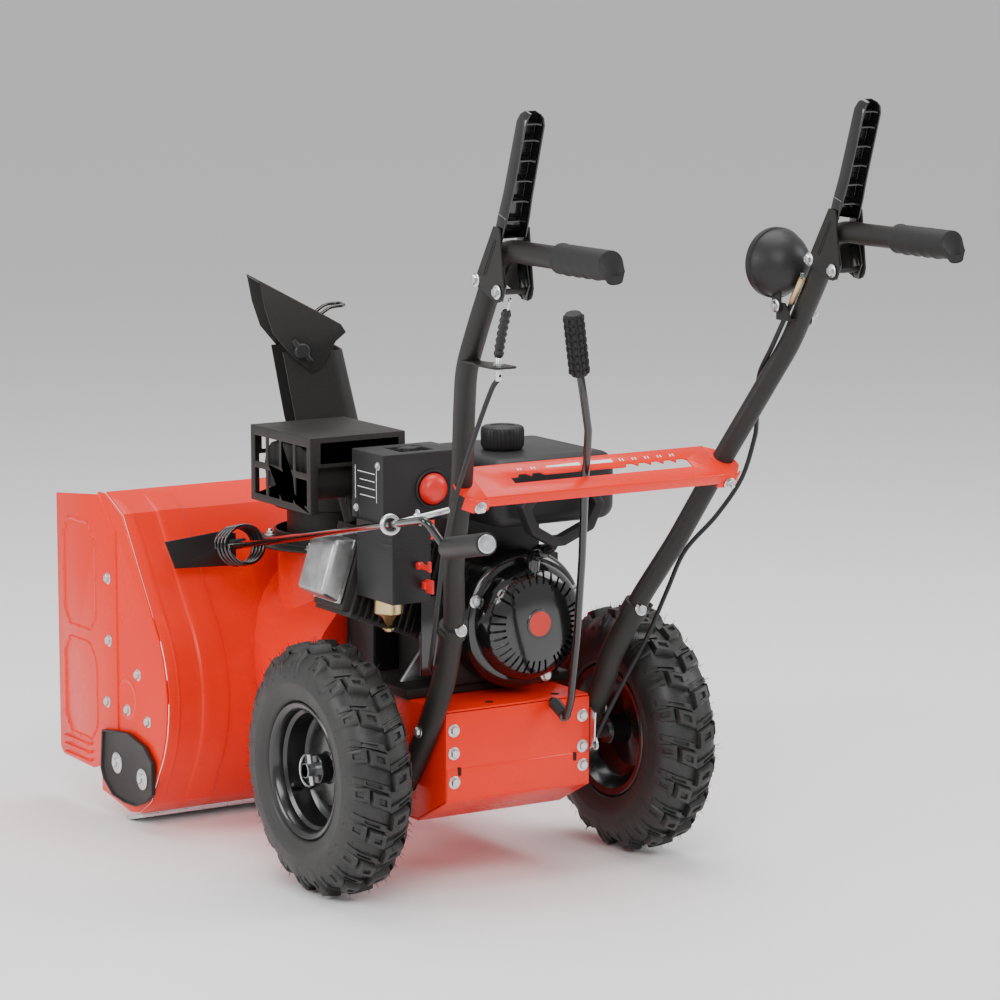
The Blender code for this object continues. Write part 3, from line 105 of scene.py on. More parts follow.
# ---------------------------------------------------------- intake housing
# The wrap is one sheet of 2.7 mm steel, rolled and pressed with a raised band near
# each end, welded to two side plates and powder coated orange-red.


class Wire:
    """A value coming out of a shader node, which ordinary arithmetic can be done on."""

    def __init__(self, finish, socket):
        self.finish = finish
        self.socket = socket

    def maths(self, operation, first, second):
        return self.finish.node("ShaderNodeMath", {"operation": operation}, {0: first, 1: second})

    def __add__(self, other):
        return self.maths("ADD", self, other)

    def __radd__(self, other):
        return self.maths("ADD", other, self)

    def __sub__(self, other):
        return self.maths("SUBTRACT", self, other)

    def __rsub__(self, other):
        return self.maths("SUBTRACT", other, self)

    def __mul__(self, other):
        return self.maths("MULTIPLY", self, other)

    def __rmul__(self, other):
        return self.maths("MULTIPLY", other, self)


class Finish:
    """A material in the making: constants go straight on its shader, wires feed what varies."""

    def __init__(self, name, **constants):
        self.material = bpy.data.materials.new(name)
        self.material.use_nodes = True
        self.tree = self.material.node_tree
        self.shader = self.tree.nodes["Principled BSDF"]
        for socket, value in constants.items():
            self.shader.inputs[socket.replace("_", " ")].default_value = value
        self.place = self.node("ShaderNodeTexCoord", out="Object")

    def node(self, kind, settings=None, sockets=None, out=0):
        made = self.tree.nodes.new(kind)
        for setting, value in (settings or {}).items():
            if setting == "stops":
                for stop, (position, colour) in zip(made.color_ramp.elements, value):
                    stop.position = position
                    stop.color = (*colour, 1) if isinstance(colour, tuple) else (colour, colour, colour, 1)
            else:
                setattr(made, setting, value)
        for socket, value in (sockets or {}).items():
            if isinstance(value, Wire):
                self.tree.links.new(value.socket, made.inputs[socket])
            else:
                made.inputs[socket].default_value = value
        return Wire(self, made.outputs[out])

    def noise(self, scale, detail=3.0, roughness=0.5, stretch=None):
        place = self.place
        if stretch:
            place = self.node("ShaderNodeMapping", None, {"Vector": place, "Scale": stretch})
        return self.node("ShaderNodeTexNoise", None,
                         {"Vector": place, "Scale": scale, "Detail": detail, "Roughness": roughness})

    def ramp(self, value, low, high, first=0.0, second=1.0):
        return self.node("ShaderNodeValToRGB", {"stops": ((low, first), (high, second))}, {"Fac": value})

    def blend(self, factor, first, second):
        return self.node("ShaderNodeMix", {"data_type": "RGBA"},
                         {0: factor, 6: (*first, 1) if isinstance(first, tuple) else first,
                          7: (*second, 1) if isinstance(second, tuple) else second}, out=2)

    def bump(self, height, distance, below=None):
        sockets = {"Height": height, "Distance": distance}
        if below:
            sockets["Normal"] = below
        return self.node("ShaderNodeBump", None, sockets)

    def paint(self, **wires):
        for socket, value in wires.items():
            self.tree.links.new(value.socket, self.shader.inputs[socket.replace("_", " ")])
        return self.material


def powder_coat():
    finish = Finish("orange_red_powder_coat", Coat_Weight=0.12, Coat_Roughness=0.2, Specular_IOR_Level=0.2)
    cloud = finish.noise(9, 4)
    peel = finish.noise(420, 2)
    height = finish.node("ShaderNodeSeparateXYZ", None, {"Vector": finish.place}, out="Z")
    # The red is mixed toward a dull brown, at most 14 % at the ground, fading out about 0.1 m up with a
    # cloudy edge, so it is a little darker and browner towards the bottom.
    low_brown_mix = finish.ramp(height * 4 + cloud * 0.35, 0.10, 0.55, 0.14, 0.0)
    clean = finish.blend(cloud, (0.88, 0.018, 0.0015), (0.82, 0.014, 0.0012))
    return finish.paint(Base_Color=finish.blend(low_brown_mix, clean, (0.46, 0.10, 0.06)),
                        Roughness=finish.ramp(cloud, 0.3, 0.7, 0.25, 0.34),
                        Normal=finish.bump(peel, 0.00010))


RED = powder_coat()


def obj_of(bm, name):
    """A linked object from a bmesh, its doubles merged and its faces turned outwards."""
    bmesh.ops.remove_doubles(bm, verts=bm.verts, dist=1e-6)
    bmesh.ops.recalc_face_normals(bm, faces=bm.faces)
    mesh = bpy.data.meshes.new(name)
    bm.to_mesh(mesh)
    bm.free()
    made = bpy.data.objects.new(name, mesh)
    bpy.context.scene.collection.objects.link(made)
    return made


def settled(obj):
    """Applies an object's modifiers to its mesh."""
    bpy.context.view_layer.update()
    graph = bpy.context.evaluated_depsgraph_get()
    mesh = bpy.data.meshes.new_from_object(obj.evaluated_get(graph))
    obj.modifiers.clear()
    obj.data = mesh
    return obj


def rounded(obj, width, segments=2, angle=36):
    """Eases the sharp edges, as a press, a mould or a coat of paint leaves them."""
    if width:
        ease = obj.modifiers.new("Ease", "BEVEL")
        ease.width = width
        ease.segments = segments
        ease.limit_method = "ANGLE"
        ease.angle_limit = math.radians(angle)
        ease.use_clamp_overlap = False
        ease.miter_outer = "MITER_ARC"
        settled(obj)
    return obj


def carved(obj, *tools):
    """Cuts tools out of an object and throws them away."""
    for tool in tools:
        cut = obj.modifiers.new("Cut", "BOOLEAN")
        cut.operation = "DIFFERENCE"
        cut.object = tool
        tool.hide_render = True
    settled(obj)
    for tool in tools:
        bpy.data.objects.remove(tool)
    return obj


def fitted(obj, finish, body, slot, *nodes, smooth=36):
    """Paints a piece, shades it and hangs it on its body in place of its CAD nodes."""
    obj.data.materials.clear()
    obj.data.materials.append(finish)
    obj.data.shade_smooth()
    obj.data.set_sharp_from_angle(angle=math.radians(smooth))
    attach(obj, body)
    if nodes:
        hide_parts(*nodes)
    return obj


def strip(bm, rings, closed=False, capped=True):
    """Faces between rings of points that follow each other."""
    loops = [[bm.verts.new(point) for point in ring] for ring in rings]
    pairs = list(zip(loops, loops[1:])) + ([(loops[-1], loops[0])] if closed else [])
    for first, second in pairs:
        for k in range(len(first)):
            m = (k + 1) % len(first)
            bm.faces.new((first[k], first[m], second[m], second[k]))
    if capped and not closed:
        bm.faces.new(loops[0])
        bm.faces.new(loops[-1])


def across(direction):
    """Two directions square to this one and to each other."""
    direction = Vector(direction).normalized()
    helper = Vector((0, 0, 1)) if abs(direction.z) < 0.9 else Vector((1, 0, 0))
    side = direction.cross(helper).normalized()
    return side, side.cross(direction)


def curve_through(points, steps=8):
    """A smooth line through the points."""
    points = [Vector(point) for point in points]
    padded = [2 * points[0] - points[1], *points, 2 * points[-1] - points[-2]]
    line = []
    for a, b, c, d in zip(padded, padded[1:], padded[2:], padded[3:]):
        for k in range(steps):
            t = k / steps
            line.append(0.5 * (2 * b + (c - a) * t + (2 * a - 5 * b + 4 * c - d) * t * t
                               + (3 * b - a - 3 * c + d) * t ** 3))
    return [*line, points[-1]]


def bar(bm, points, radius, sides=16, closed=False, flat=1.0, dome=True):
    """A round bar along a line. radius may be one number or one for each point, and flat squashes it."""
    points = [Vector(point) for point in points]
    radii = radius if isinstance(radius, (list, tuple)) else [radius] * len(points)
    side = None
    rings = []
    count = len(points)
    for i, point in enumerate(points):
        ahead = points[(i + 1) % count] if closed or i + 1 < count else None
        behind = points[i - 1] if closed or i else None
        along = ((ahead or point) - (behind or point)).normalized()
        if side is None:
            side = across(along)[0]
        side = (side - along * side.dot(along)).normalized()
        up = along.cross(side)
        rings.append([point + radii[i] * (math.cos(math.tau * k / sides) * side
                                          + flat * math.sin(math.tau * k / sides) * up)
                      for k in range(sides)])
    if dome and not closed:
        for end, start in ((0, 1), (-1, -2)):
            out = (points[end] - points[start]).normalized() * min(radii[end] * 0.22, 0.0012)
            crown = [points[end] + out + (p - points[end]) * 0.82 for p in rings[end]]
            rings = [crown, *rings] if end == 0 else [*rings, crown]
    strip(bm, rings, closed)


def spun(bm, profile, centre, axis, sides=72, closed=True):
    """A profile of (radius, height) turned about an axis."""
    axis = Vector(axis).normalized()
    side, up = across(axis)
    rings = [[Vector(centre) + axis * height + radius * (math.cos(math.tau * k / sides) * side
                                                         + math.sin(math.tau * k / sides) * up)
              for radius, height in profile] for k in range(sides)]
    loops = [[bm.verts.new(point) for point in ring] for ring in rings]
    last = len(profile) if closed else len(profile) - 1
    for first, second in zip(loops, loops[1:] + loops[:1]):
        for k in range(last):
            m = (k + 1) % len(profile)
            bm.faces.new((first[k], first[m], second[m], second[k]))
    bmesh.ops.remove_doubles(bm, verts=bm.verts, dist=1e-6)


def bend(centre, radius, start, end, steps):
    """Points on an arc between two angles in degrees."""
    return [(centre[0] + radius * math.cos(math.radians(start + (end - start) * k / steps)),
             centre[1] + radius * math.sin(math.radians(start + (end - start) * k / steps)))
            for k in range(steps + 1)]


def slab(bm, outline, axis, low, high):
    """A flat outline drawn out from low to high. X takes (y, z), Y takes (x, z) and Z takes (x, y)."""
    place = {"X": lambda a, b, h: spot(h, a, b), "Y": lambda a, b, h: spot(a, h, b),
             "Z": lambda a, b, h: spot(a, b, h)}[axis]
    strip(bm, [[place(a, b, low) for a, b in outline], [place(a, b, high) for a, b in outline]])


def block(bm, low, high):
    slab(bm, [(low[0], low[1]), (high[0], low[1]), (high[0], high[1]), (low[0], high[1])], "Z", low[2],
         high[2])


def eased(node, width, segments=2):
    """A merged copy of a CAD node with its sharp edges eased."""
    bm = bmesh.new()
    bm.from_mesh(frame["nodes"][node].data)
    bmesh.ops.remove_doubles(bm, verts=bm.verts, dist=3e-6)
    bmesh.ops.dissolve_limit(bm, angle_limit=math.radians(0.7), verts=bm.verts, edges=bm.edges)
    mesh = bpy.data.meshes.new(node)
    bm.to_mesh(mesh)
    bm.free()
    made = bpy.data.objects.new(node + "_finished", mesh)
    bpy.context.scene.collection.objects.link(made)
    return rounded(made, width, segments)


sheet = 0.0027
wrap_line = [(0.540, 0.455), (0.520, 0.4465), (0.487, 0.431), *bend((0.532, 0.186), 0.176, 138, 214, 40),
             (0.412, 0.042), (0.430, 0.0305), (0.447, 0.020)]
band_low, band_high, band_rise = 0.190, 0.233, 0.0022


def pressed(x, along):
    """How far the pressed bands stand out of the wrap."""
    x = abs(x)
    ramp = 0.0045
    into = min(max((x - band_low) / ramp, 0), 1) * min(max((band_high - x) / ramp, 0), 1)
    ridge = max(0.0, 1 - abs(x - 0.268) / 0.003)
    fade = min(1, along / 0.06) * min(1, (1 - along) / 0.05)
    return (band_rise * into * into * (3 - 2 * into) + 0.0009 * ridge) * max(0.0, fade)


wrap = bmesh.new()
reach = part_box("auger_housing")[1].x - axle_at.x
stations = sorted({*(reach * k / 14 for k in range(15)), *(band_low + 0.0009 * k for k in range(6)),
                   *(band_high - 0.0009 * k for k in range(6)), 0.265, 0.268, 0.271})
stations = [-x for x in reversed(stations[1:])] + stations
rows = []
for i, (y, z) in enumerate(wrap_line):
    before = Vector(wrap_line[max(i - 1, 0)])
    after = Vector(wrap_line[min(i + 1, len(wrap_line) - 1)])
    along = (after - before).normalized()
    out = Vector((along.y, -along.x))
    row = []
    for x in stations:
        rise = pressed(x, i / (len(wrap_line) - 1))
        row.append(wrap.verts.new(spot(x, y + out.x * rise, z + out.y * rise)))
    rows.append(row)
for first, second in zip(rows, rows[1:]):
    for k in range(len(stations) - 1):
        wrap.faces.new((first[k], first[k + 1], second[k + 1], second[k]))
housing = obj_of(wrap, "intake_wrap")
wall = housing.modifiers.new("Sheet", "SOLIDIFY")
wall.thickness = sheet
wall.offset = 1
settled(housing)
drum_low, drum_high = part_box("impeller_housing")
drum_radius = (drum_high.x - drum_low.x) / 2
impeller_z = drum_low.z + drum_radius
opening = bmesh.new()
spun(opening, [(0, 0.30), (drum_radius - sheet, 0.30), (drum_radius - sheet, 0.50), (0, 0.50)],
     spot(0, 0, impeller_z), (0, 1, 0), 96)
fitted(rounded(carved(housing, obj_of(opening, "opening")), 0.0005), RED, "chassis", "red_enamel",
       "auger_housing", smooth=28)

# Side plates with the front wings bolted on, their stiffening pressings raised as
# six-sided outlines, slots near the lower corner, and zinc flange bolts through them.


def zinc():
    finish = Finish("zinc_plated_steel", Metallic=1.0)
    cloud = finish.noise(60, 4)
    grain = finish.noise(700, 2)
    return finish.paint(Base_Color=finish.blend(cloud, (0.50, 0.51, 0.53), (0.80, 0.81, 0.82)),
                        Roughness=finish.ramp(cloud, 0.3, 0.7, 0.22, 0.42),
                        Normal=finish.bump(grain, 0.00004))


ZINC = zinc()


def placed(name, shape, places, finish, body, slot, smooth=36):
    """Copies of a small shape at places, each a point with the turn it takes there, made one mesh."""
    tree = placed.tree
    if tree is None:
        tree = placed.tree = bpy.data.node_groups.new("copies at places", "GeometryNodeTree")
        face = tree.interface
        face.new_socket("Places", in_out="INPUT", socket_type="NodeSocketGeometry")
        face.new_socket("Shape", in_out="INPUT", socket_type="NodeSocketObject")
        face.new_socket("Finish", in_out="INPUT", socket_type="NodeSocketMaterial")
        face.new_socket("Copies", in_out="OUTPUT", socket_type="NodeSocketGeometry")
        start = tree.nodes.new("NodeGroupInput")
        turn = tree.nodes.new("GeometryNodeInputNamedAttribute")
        turn.data_type = "FLOAT_VECTOR"
        turn.inputs["Name"].default_value = "turn"
        info = tree.nodes.new("GeometryNodeObjectInfo")
        copies = tree.nodes.new("GeometryNodeInstanceOnPoints")
        real = tree.nodes.new("GeometryNodeRealizeInstances")
        coat = tree.nodes.new("GeometryNodeSetMaterial")
        end = tree.nodes.new("NodeGroupOutput")
        for first, second in ((start.outputs["Places"], copies.inputs["Points"]),
                              (start.outputs["Shape"], info.inputs["Object"]),
                              (info.outputs["Geometry"], copies.inputs["Instance"]),
                              (turn.outputs["Attribute"], copies.inputs["Rotation"]),
                              (copies.outputs["Instances"], real.inputs["Geometry"]),
                              (real.outputs["Geometry"], coat.inputs["Geometry"]),
                              (start.outputs["Finish"], coat.inputs["Material"]),
                              (coat.outputs["Geometry"], end.inputs["Copies"])):
            tree.links.new(first, second)
    mesh = bpy.data.meshes.new(name)
    mesh.from_pydata([point for point, _ in places], [], [])
    turns = mesh.attributes.new("turn", "FLOAT_VECTOR", "POINT")
    for i, (_, direction) in enumerate(places):
        turned = isinstance(direction, Euler)
        turns.data[i].vector = direction if turned else Vector(direction).to_track_quat("Z", "Y").to_euler()
    host = bpy.data.objects.new(name, mesh)
    bpy.context.scene.collection.objects.link(host)
    copies = host.modifiers.new("Copies", "NODES")
    copies.node_group = tree
    sockets = {item.name: item.identifier for item in tree.interface.items_tree if item.in_out == "INPUT"}
    copies[sockets["Shape"]] = shape
    copies[sockets["Finish"]] = finish
    settled(host)
    return fitted(host, finish, body, slot, smooth=smooth)


placed.tree = None


def bolt_shape(flats, height, washer, thick=0.0012, hex_nut=False):
    """A flange bolt head seen from outside, seated at z = 0 and pointing along +Z."""
    bm = bmesh.new()
    spun(bm, [(0, 0), (washer, 0), (washer, thick * 0.7), (washer * 0.94, thick), (0, thick)], (0, 0, 0),
         (0, 0, 1), 20)
    spun(bm, [(0, thick * 0.8), (flats, thick * 0.8), (flats, height * 0.82), (flats * 0.9, height),
              (0, height)],
         (0, 0, 0), (0, 0, 1), 6)
    if hex_nut:
        spun(bm, [(0, height * 0.5), (flats * 0.52, height * 0.5), (flats * 0.52, height * 1.55),
                  (flats * 0.44, height * 1.7), (0, height * 1.7)], (0, 0, 0), (0, 0, 1), 14)
    else:
        spun(bm, [(0, height), (flats * 0.5, height), (flats * 0.42, height + 0.0005), (0, height + 0.0005)],
             (0, 0, 0), (0, 0, 1), 16)
    made = obj_of(bm, "bolt_shape")
    made.hide_render = True
    return made


BOLT = bolt_shape(0.0058, 0.0048, 0.0085)
NUT = bolt_shape(0.0058, 0.0052, 0.0082, hex_nut=True)
SCREW = bolt_shape(0.0036, 0.0030, 0.0054, 0.0009)


wing_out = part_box("side_plate_right")[1].x - axle_at.x
for side, sign in (("left", -1), ("right", 1)):
    fitted(eased(f"side_plate_{side}", 0.0006), RED, "chassis", "red_enamel", f"side_plate_{side}")
    press = bmesh.new()
    face = sign * wing_out
    for low, high in ((0.254, 0.408), (0.098, 0.236)):
        corner = 0.022
        outline = [(0.566, low + corner), (0.586, low), (0.650, low), (0.668, low + corner),
                   (0.668, high - corner),
                   (0.650, high), (0.586, high), (0.566, high - corner)]
        route = [(y0 + (y1 - y0) * t, z0 + (z1 - z0) * t)
                 for (y0, z0), (y1, z1) in zip(outline, outline[1:] + outline[:1]) for t in (0.06, 0.5, 0.94)]
        rings = [spot(face, y, z) for y, z in route]
        for k in range(len(rings)):
            here, then = rings[k], rings[(k + 1) % len(rings)]
            along = (then - here).normalized()
            square = Vector((0, -along.z, along.y))
            ends = [[p + square * a + Vector((sign * h, 0, 0)) for a, h in
                     ((-0.0040, -0.0005), (-0.0018, 0.0011), (0.0018, 0.0011), (0.0040, -0.0005))]
                    for p in (here - along * 0.0006, then + along * 0.0006)]
            strip(press, ends)
    for k in range(3):
        z = 0.092 - 0.012 * k
        bar(press, [spot(face, 0.585, z), spot(face, 0.600, z - 0.004), spot(face, 0.672, z - 0.004)],
            0.0024, 8,
            flat=1.0)
    spun(press, [(0.020, -0.0004), (0.024, 0.0013), (0.028, 0.0013), (0.032, -0.0004)],
         spot(sign * 0.2851, 0.475, 0.176), (sign, 0, 0), 56)
    fitted(obj_of(press, f"side_pressings_{side}"), RED, "chassis", "red_enamel", smooth=60)
    out = Vector((sign, 0, 0))
    plate = sign * 0.2852
    heads = [(spot(face, 0.525, 0.338), out), (spot(face, 0.531, 0.162), out),
             (spot(face, 0.524, 0.250), out)]
    heads += [(spot(plate, y, z), out) for y, z in ((0.442, 0.215), (0.475, 0.160), (0.413, 0.154))]
    placed(f"side_bolts_{side}", BOLT, heads, ZINC, "chassis", "zinc_steel")

# Scraper bar along the lower edge, and the skid shoes: pressed trays of black steel
# bolted to the side plates through long holes.


def black_powder(name, shade, rough, grain):
    finish = Finish(name, Specular_IOR_Level=0.28)
    cloud = finish.noise(14, 4)
    texture = finish.noise(grain, 3)
    edge = finish.ramp(texture, 0.35, 0.75, 0.0, 1.0)
    lighter = tuple(1.5 * c for c in shade)
    return finish.paint(Base_Color=finish.blend(edge, shade, lighter),
                        Roughness=finish.ramp(cloud, 0.3, 0.7, rough - 0.06, rough + 0.06),
                        Normal=finish.bump(texture, 0.00028))


BLACK = black_powder("textured_black_powder_coat", (0.015, 0.0135, 0.012), 0.46, 950)
fitted(eased("scraper_bar", 0.0006), ZINC, "chassis", "zinc_steel", "scraper_bar")
for side, sign in (("left", -1), ("right", 1)):
    fitted(eased(f"skid_shoe_{side}", 0.0008, 3), BLACK, "chassis", "black_paint", f"skid_shoe_{side}")
    shoe_face = sign * (wing_out + 0.0003 + sheet)
    tray = bmesh.new()
    for y, z in ((0.4986, 0.0813), (0.4214, 0.0729)):
        spun(tray, [(0.0062, 0), (0.0150, 0), (0.0150, 0.0010), (0.0140, 0.0016), (0.0062, 0.0016)],
             spot(shoe_face, y, z), (sign, 0, 0), 30)
    fitted(obj_of(tray, f"shoe_washers_{side}"), ZINC, "chassis", "zinc_steel")
    placed(f"shoe_bolts_{side}", BOLT, [(spot(shoe_face + sign * 0.0014, y, z), (sign, 0, 0))
                                       for y, z in ((0.4986, 0.0813), (0.4214, 0.0729))],
           ZINC, "chassis", "zinc_steel")

# Impeller drum with its spout, welded behind the wrap, and the rotor in it.

fitted(eased("impeller_housing", 0.0005), RED, "chassis", "red_enamel", "impeller_housing", smooth=30)
fitted(eased("impeller", 0.0006), RED, "impeller_rotor", "red_enamel", "impeller", smooth=30)
fitted(eased("auger_gearbox", 0.0014, 3), BLACK, "chassis", "black_paint", "auger_gearbox", smooth=30)
fitted(eased("auger_shaft", 0.0004), ZINC, "auger", "zinc_steel", "auger_shaft", smooth=30)

# Augers: a saw-edged ribbon wound round a sleeve, welded to it by three round arms
# on each side of the gearbox.

shaft_at = Vector(joints["auger_turn"]["pos_m"])
for side, sign in (("left", -1), ("right", 1)):
    inner, outer = 0.034, 0.2645
    turns, thick = 1.15, 0.004
    ribbon_in = 0.0826
    flight = bmesh.new()
    steps = 150
    rings = []
    for i in range(steps + 1):
        along = inner + 0.006 + (outer - inner - 0.012) * i / steps
        angle = sign * math.tau * turns * i / steps
        spoke = Vector((0, math.cos(angle), math.sin(angle)))
        middle = shaft_at + Vector((sign * along, 0, 0))
        edge = 0.118 - (0.0045 if i % 5 in (0, 4) else 0.0)
        rings.append([middle + spoke * r + Vector((thick / 2 * s, 0, 0)) for r, s in
                      ((ribbon_in, -1), (0.100, -1), (edge, -0.6), (edge, 0.6), (0.100, 1), (ribbon_in, 1))])
    strip(flight, rings)
    spun(flight, [(0.0129, inner), (0.0170, inner), (0.0170, outer), (0.0129, outer)], shaft_at,
         (sign, 0, 0), 40)
    for i in (2, 15, 28):
        along = inner + 0.006 + (outer - inner - 0.012) * i / 30
        angle = sign * math.tau * turns * i / 30
        spoke = Vector((0, math.cos(angle), math.sin(angle)))
        middle = shaft_at + Vector((sign * along, 0, 0))
        bar(flight, [middle + spoke * 0.0145, middle + spoke * (ribbon_in + 0.010)], 0.006, 14)
        spun(flight, [(0.0060, 0), (0.0088, 0.0), (0.0060, 0.0035)], middle + spoke * 0.0165, spoke, 20)
    fitted(rounded(obj_of(flight, f"auger_{side}_flight"), 0), RED, "auger", "red_enamel", f"auger_{side}",
           smooth=32)
    placed(f"shear_bolt_{side}", NUT, [(shaft_at + Vector((sign * 0.060, 0.0165, 0)), (0, 1, 0)),
                                      (shaft_at + Vector((sign * 0.060, -0.0165, 0)), (0, -1, 0))],
           ZINC, "auger", "zinc_steel")

# Clean-out tool: a folded blade of glossy black plastic clipped behind the wrap.


def moulded(name, shade, rough, grain, depth=0.00009, **constants):
    finish = Finish(name, **constants)
    cloud = finish.noise(11, 3)
    texture = finish.noise(grain, 2)
    return finish.paint(Base_Color=finish.blend(cloud, shade, tuple(1.35 * c for c in shade)),
                        Roughness=finish.ramp(cloud, 0.3, 0.7, rough - 0.05, rough + 0.05),
                        Normal=finish.bump(texture, depth))


PLASTIC = moulded("moulded_black_plastic", (0.014, 0.014, 0.0145), 0.44, 1300, Specular_IOR_Level=0.3)
GLOSS = moulded("gloss_black_enamel", (0.006, 0.006, 0.006), 0.14, 160, 0.00005, Coat_Weight=0.6,
                Coat_Roughness=0.06)
fitted(eased("clean_out_tool", 0.0007, 3), PLASTIC, "chassis", "black_plastic", "clean_out_tool")

# Discharge chute: a zinc-bolted ring on the spout, a round collar, and a channel of
# black sheet that narrows and leans as it rises.

chute_at = Vector(joints["chute_turn"]["pos_m"])
faces = math.radians(71.4)
throw = Vector((-math.sin(faces), math.cos(faces), 0))
sideways = Vector((-math.cos(faces), -math.sin(faces), 0))


def chute_spot(out, side, height):
    return Vector((chute_at.x, chute_at.y, 0)) + throw * out + sideways * side + Vector((0, 0, height))


spout, base = 0.080, chute_at.z + 0.0003
neck, lip, collar, rise = spout - 0.013, spout + 0.005, spout + 0.008, base + 0.052
ring = bmesh.new()
spun(ring, [(neck - 0.007, base), (0.1135, base), (spout + 0.035, base + 0.0008),
            (spout + 0.035, base + 0.0019),
            (0.1135, base + sheet), (lip + 0.002, base + sheet), (lip, base + sheet + 0.002),
            (lip, base + 0.0185),
            (lip - 0.0012, base + 0.0195), (lip - sheet, base + 0.0195), (lip - sheet, base + sheet),
            (neck, base + sheet), (neck, rise - 0.003), (neck + 0.003, rise), (collar - 0.002, rise),
            (collar, rise + 0.002), (collar, rise + 0.0565), (collar - 0.0013, rise + 0.058),
            (collar - sheet, rise + 0.0565), (collar - sheet, rise + sheet), (neck - sheet, rise + sheet),
            (neck - sheet, base + sheet), (neck - 0.007, base + sheet)],
     (chute_at.x, chute_at.y, 0), (0, 0, 1), 96)
teeth = 48


def channel(back, front, half, height):
    corner = half * 0.55
    outer = [(front, -half)]
    outer += [(back + corner + corner * math.cos(a), -half + corner + corner * math.sin(a))
              for a in (math.radians(270 - 10 * k) for k in range(10))]
    outer += [(a, -b) for a, b in reversed(outer)]
    middle = back + corner
    inner = []
    for a, b in outer:
        if a >= middle - 1e-6:
            inner.append((a, b - math.copysign(sheet, b)))
        else:
            pull = Vector((middle - a, (math.copysign(half - corner, b)) - b))
            pull.normalize()
            inner.append((a + pull.x * sheet, b + pull.y * sheet))
    inner.reverse()
    return [chute_spot(a, b, height) for a, b in outer + inner]


levels = [(-0.075, 0.030, 0.070, rise + 0.001), (-0.028, 0.062, 0.050, 0.565), (-0.006, 0.080, 0.047, 0.665)]
sections = []
for k in range(25):
    t = k / 24 * 2
    first, second = (levels[0], levels[1]) if t <= 1 else (levels[1], levels[2])
    u = t if t <= 1 else t - 1
    sections.append(channel(*(a + (b - a) * u for a, b in zip(first, second))))
strip(ring, sections, capped=False)
for loop in (sections[0], sections[-1]):
    half_count = len(loop) // 2
    for k in range(half_count - 1):
        corners = [loop[k], loop[k + 1], loop[-k - 2], loop[-k - 1]]
        ring.faces.new([ring.verts.new(corner) for corner in corners])
fitted(rounded(obj_of(ring, "chute_channel"), 0), BLACK, "discharge_chute", "black_paint", "chute", smooth=28)
tooth = bmesh.new()
strip(tooth, [[Vector((x, y, z)) for x, y in ((-0.0022, 0), (0.0022, 0), (0.0013, 0.0045), (-0.0013, 0.0045))]
              for z in (0.0002, 0.0025)])
tooth_shape = obj_of(tooth, "tooth_shape")
tooth_shape.hide_render = True
placed("chute_ring_teeth", tooth_shape,
       [(Vector((chute_at.x, chute_at.y, base)) + 0.1100 * Vector((math.sin(-a), math.cos(-a), 0)),
         Euler((0, 0, a))) for a in (math.tau * k / teeth for k in range(teeth))],
       BLACK, "discharge_chute", "black_paint")
placed("chute_ring_bolts", NUT, [(Vector((chute_at.x, chute_at.y, base + sheet)) + 0.097
                                  * Vector((math.cos(a), math.sin(a), 0)), (0, 0, 1))
                                 for a in (math.radians(40 + 90 * k) for k in range(4))],
       ZINC, "discharge_chute", "zinc_steel")

# Deflector: a folded hood on the chute's head, held at its angle by a winged knob on
# each cheek, with a wire handle over its tip and a slotted stay beside it.

fitted(eased("chute_deflector", 0.0006), BLACK, "deflector", "black_paint", "chute_deflector")
knobs = bmesh.new()
for hand in (-1, 1):
    hub = chute_spot(0.056, hand * 0.0535, 0.668)
    out = sideways * hand
    spun(knobs, [(0, 0), (0.0105, 0), (0.0115, 0.003), (0.0105, 0.011), (0.0085, 0.013), (0, 0.013)], hub,
         out, 32)
    for a in (0.9, 4.0):
        arm = throw * math.cos(a) + Vector((0, 0, math.sin(a)))
        bar(knobs, [hub + out * 0.006, hub + out * 0.0075 + arm * 0.010, hub + out * 0.009 + arm * 0.019],
            [0.0050, 0.0045, 0.0032], 14)
fitted(obj_of(knobs, "deflector_knobs"), PLASTIC, "deflector", "black_paint")
pull = bmesh.new()
hook = [chute_spot(out, side, height) for out, side, height in (
    (0.022, -0.018, 0.7130), (0.008, -0.018, 0.7215), (-0.010, -0.015, 0.7235), (-0.010, 0.015, 0.7235),
    (0.008, 0.018, 0.7215), (0.022, 0.018, 0.7130))]
bar(pull, curve_through(hook, 6), 0.0024, 12)
fitted(obj_of(pull, "deflector_handle"), GLOSS, "deflector", "black_paint")

# Chute crank: a bright black rod turning in an eyebolt, with a wire worm at its front
# end that drives the ring's teeth, and a bent arm with a loose sleeve to hold.

eye = Vector(joints["crank_turn"]["pos_m"])
worm = spot(-0.180, 0.337, 0.402)
along = (eye - worm).normalized()
side, up = across(along)
elbow = worm + along * 0.700
arm = Vector((0.0235, 0, -0.0375))
arm -= along * arm.dot(along)
knuckle = elbow + arm
rod = bmesh.new()
bar(rod, [worm - along * 0.030, elbow - along * 0.016, *curve_through(
    [elbow - along * 0.012, elbow - along * 0.004 + arm * 0.05, elbow + along * 0.001 + arm * 0.2], 4),
          elbow + arm * 0.5, elbow + arm * 0.86, knuckle + along * 0.004, knuckle + along * 0.012], 0.005, 16)
fitted(obj_of(rod, "crank_rod"), GLOSS, "crank", "black_paint", "chute_crank", smooth=50)
turns, wire, coil_radius = 4.0, 0.0026, 0.0262
helix = [worm + along * (-0.030 + 0.060 * i / 112) + coil_radius
         * (math.cos(math.tau * turns * i / 112) * side + math.sin(math.tau * turns * i / 112) * up)
         for i in range(113)]
coil = bmesh.new()
bar(coil, [worm - along * 0.030, helix[0] * 0.5 + (worm - along * 0.030) * 0.5, *helix,
           helix[-1] * 0.5 + (worm + along * 0.030) * 0.5, worm + along * 0.030], wire, 10)
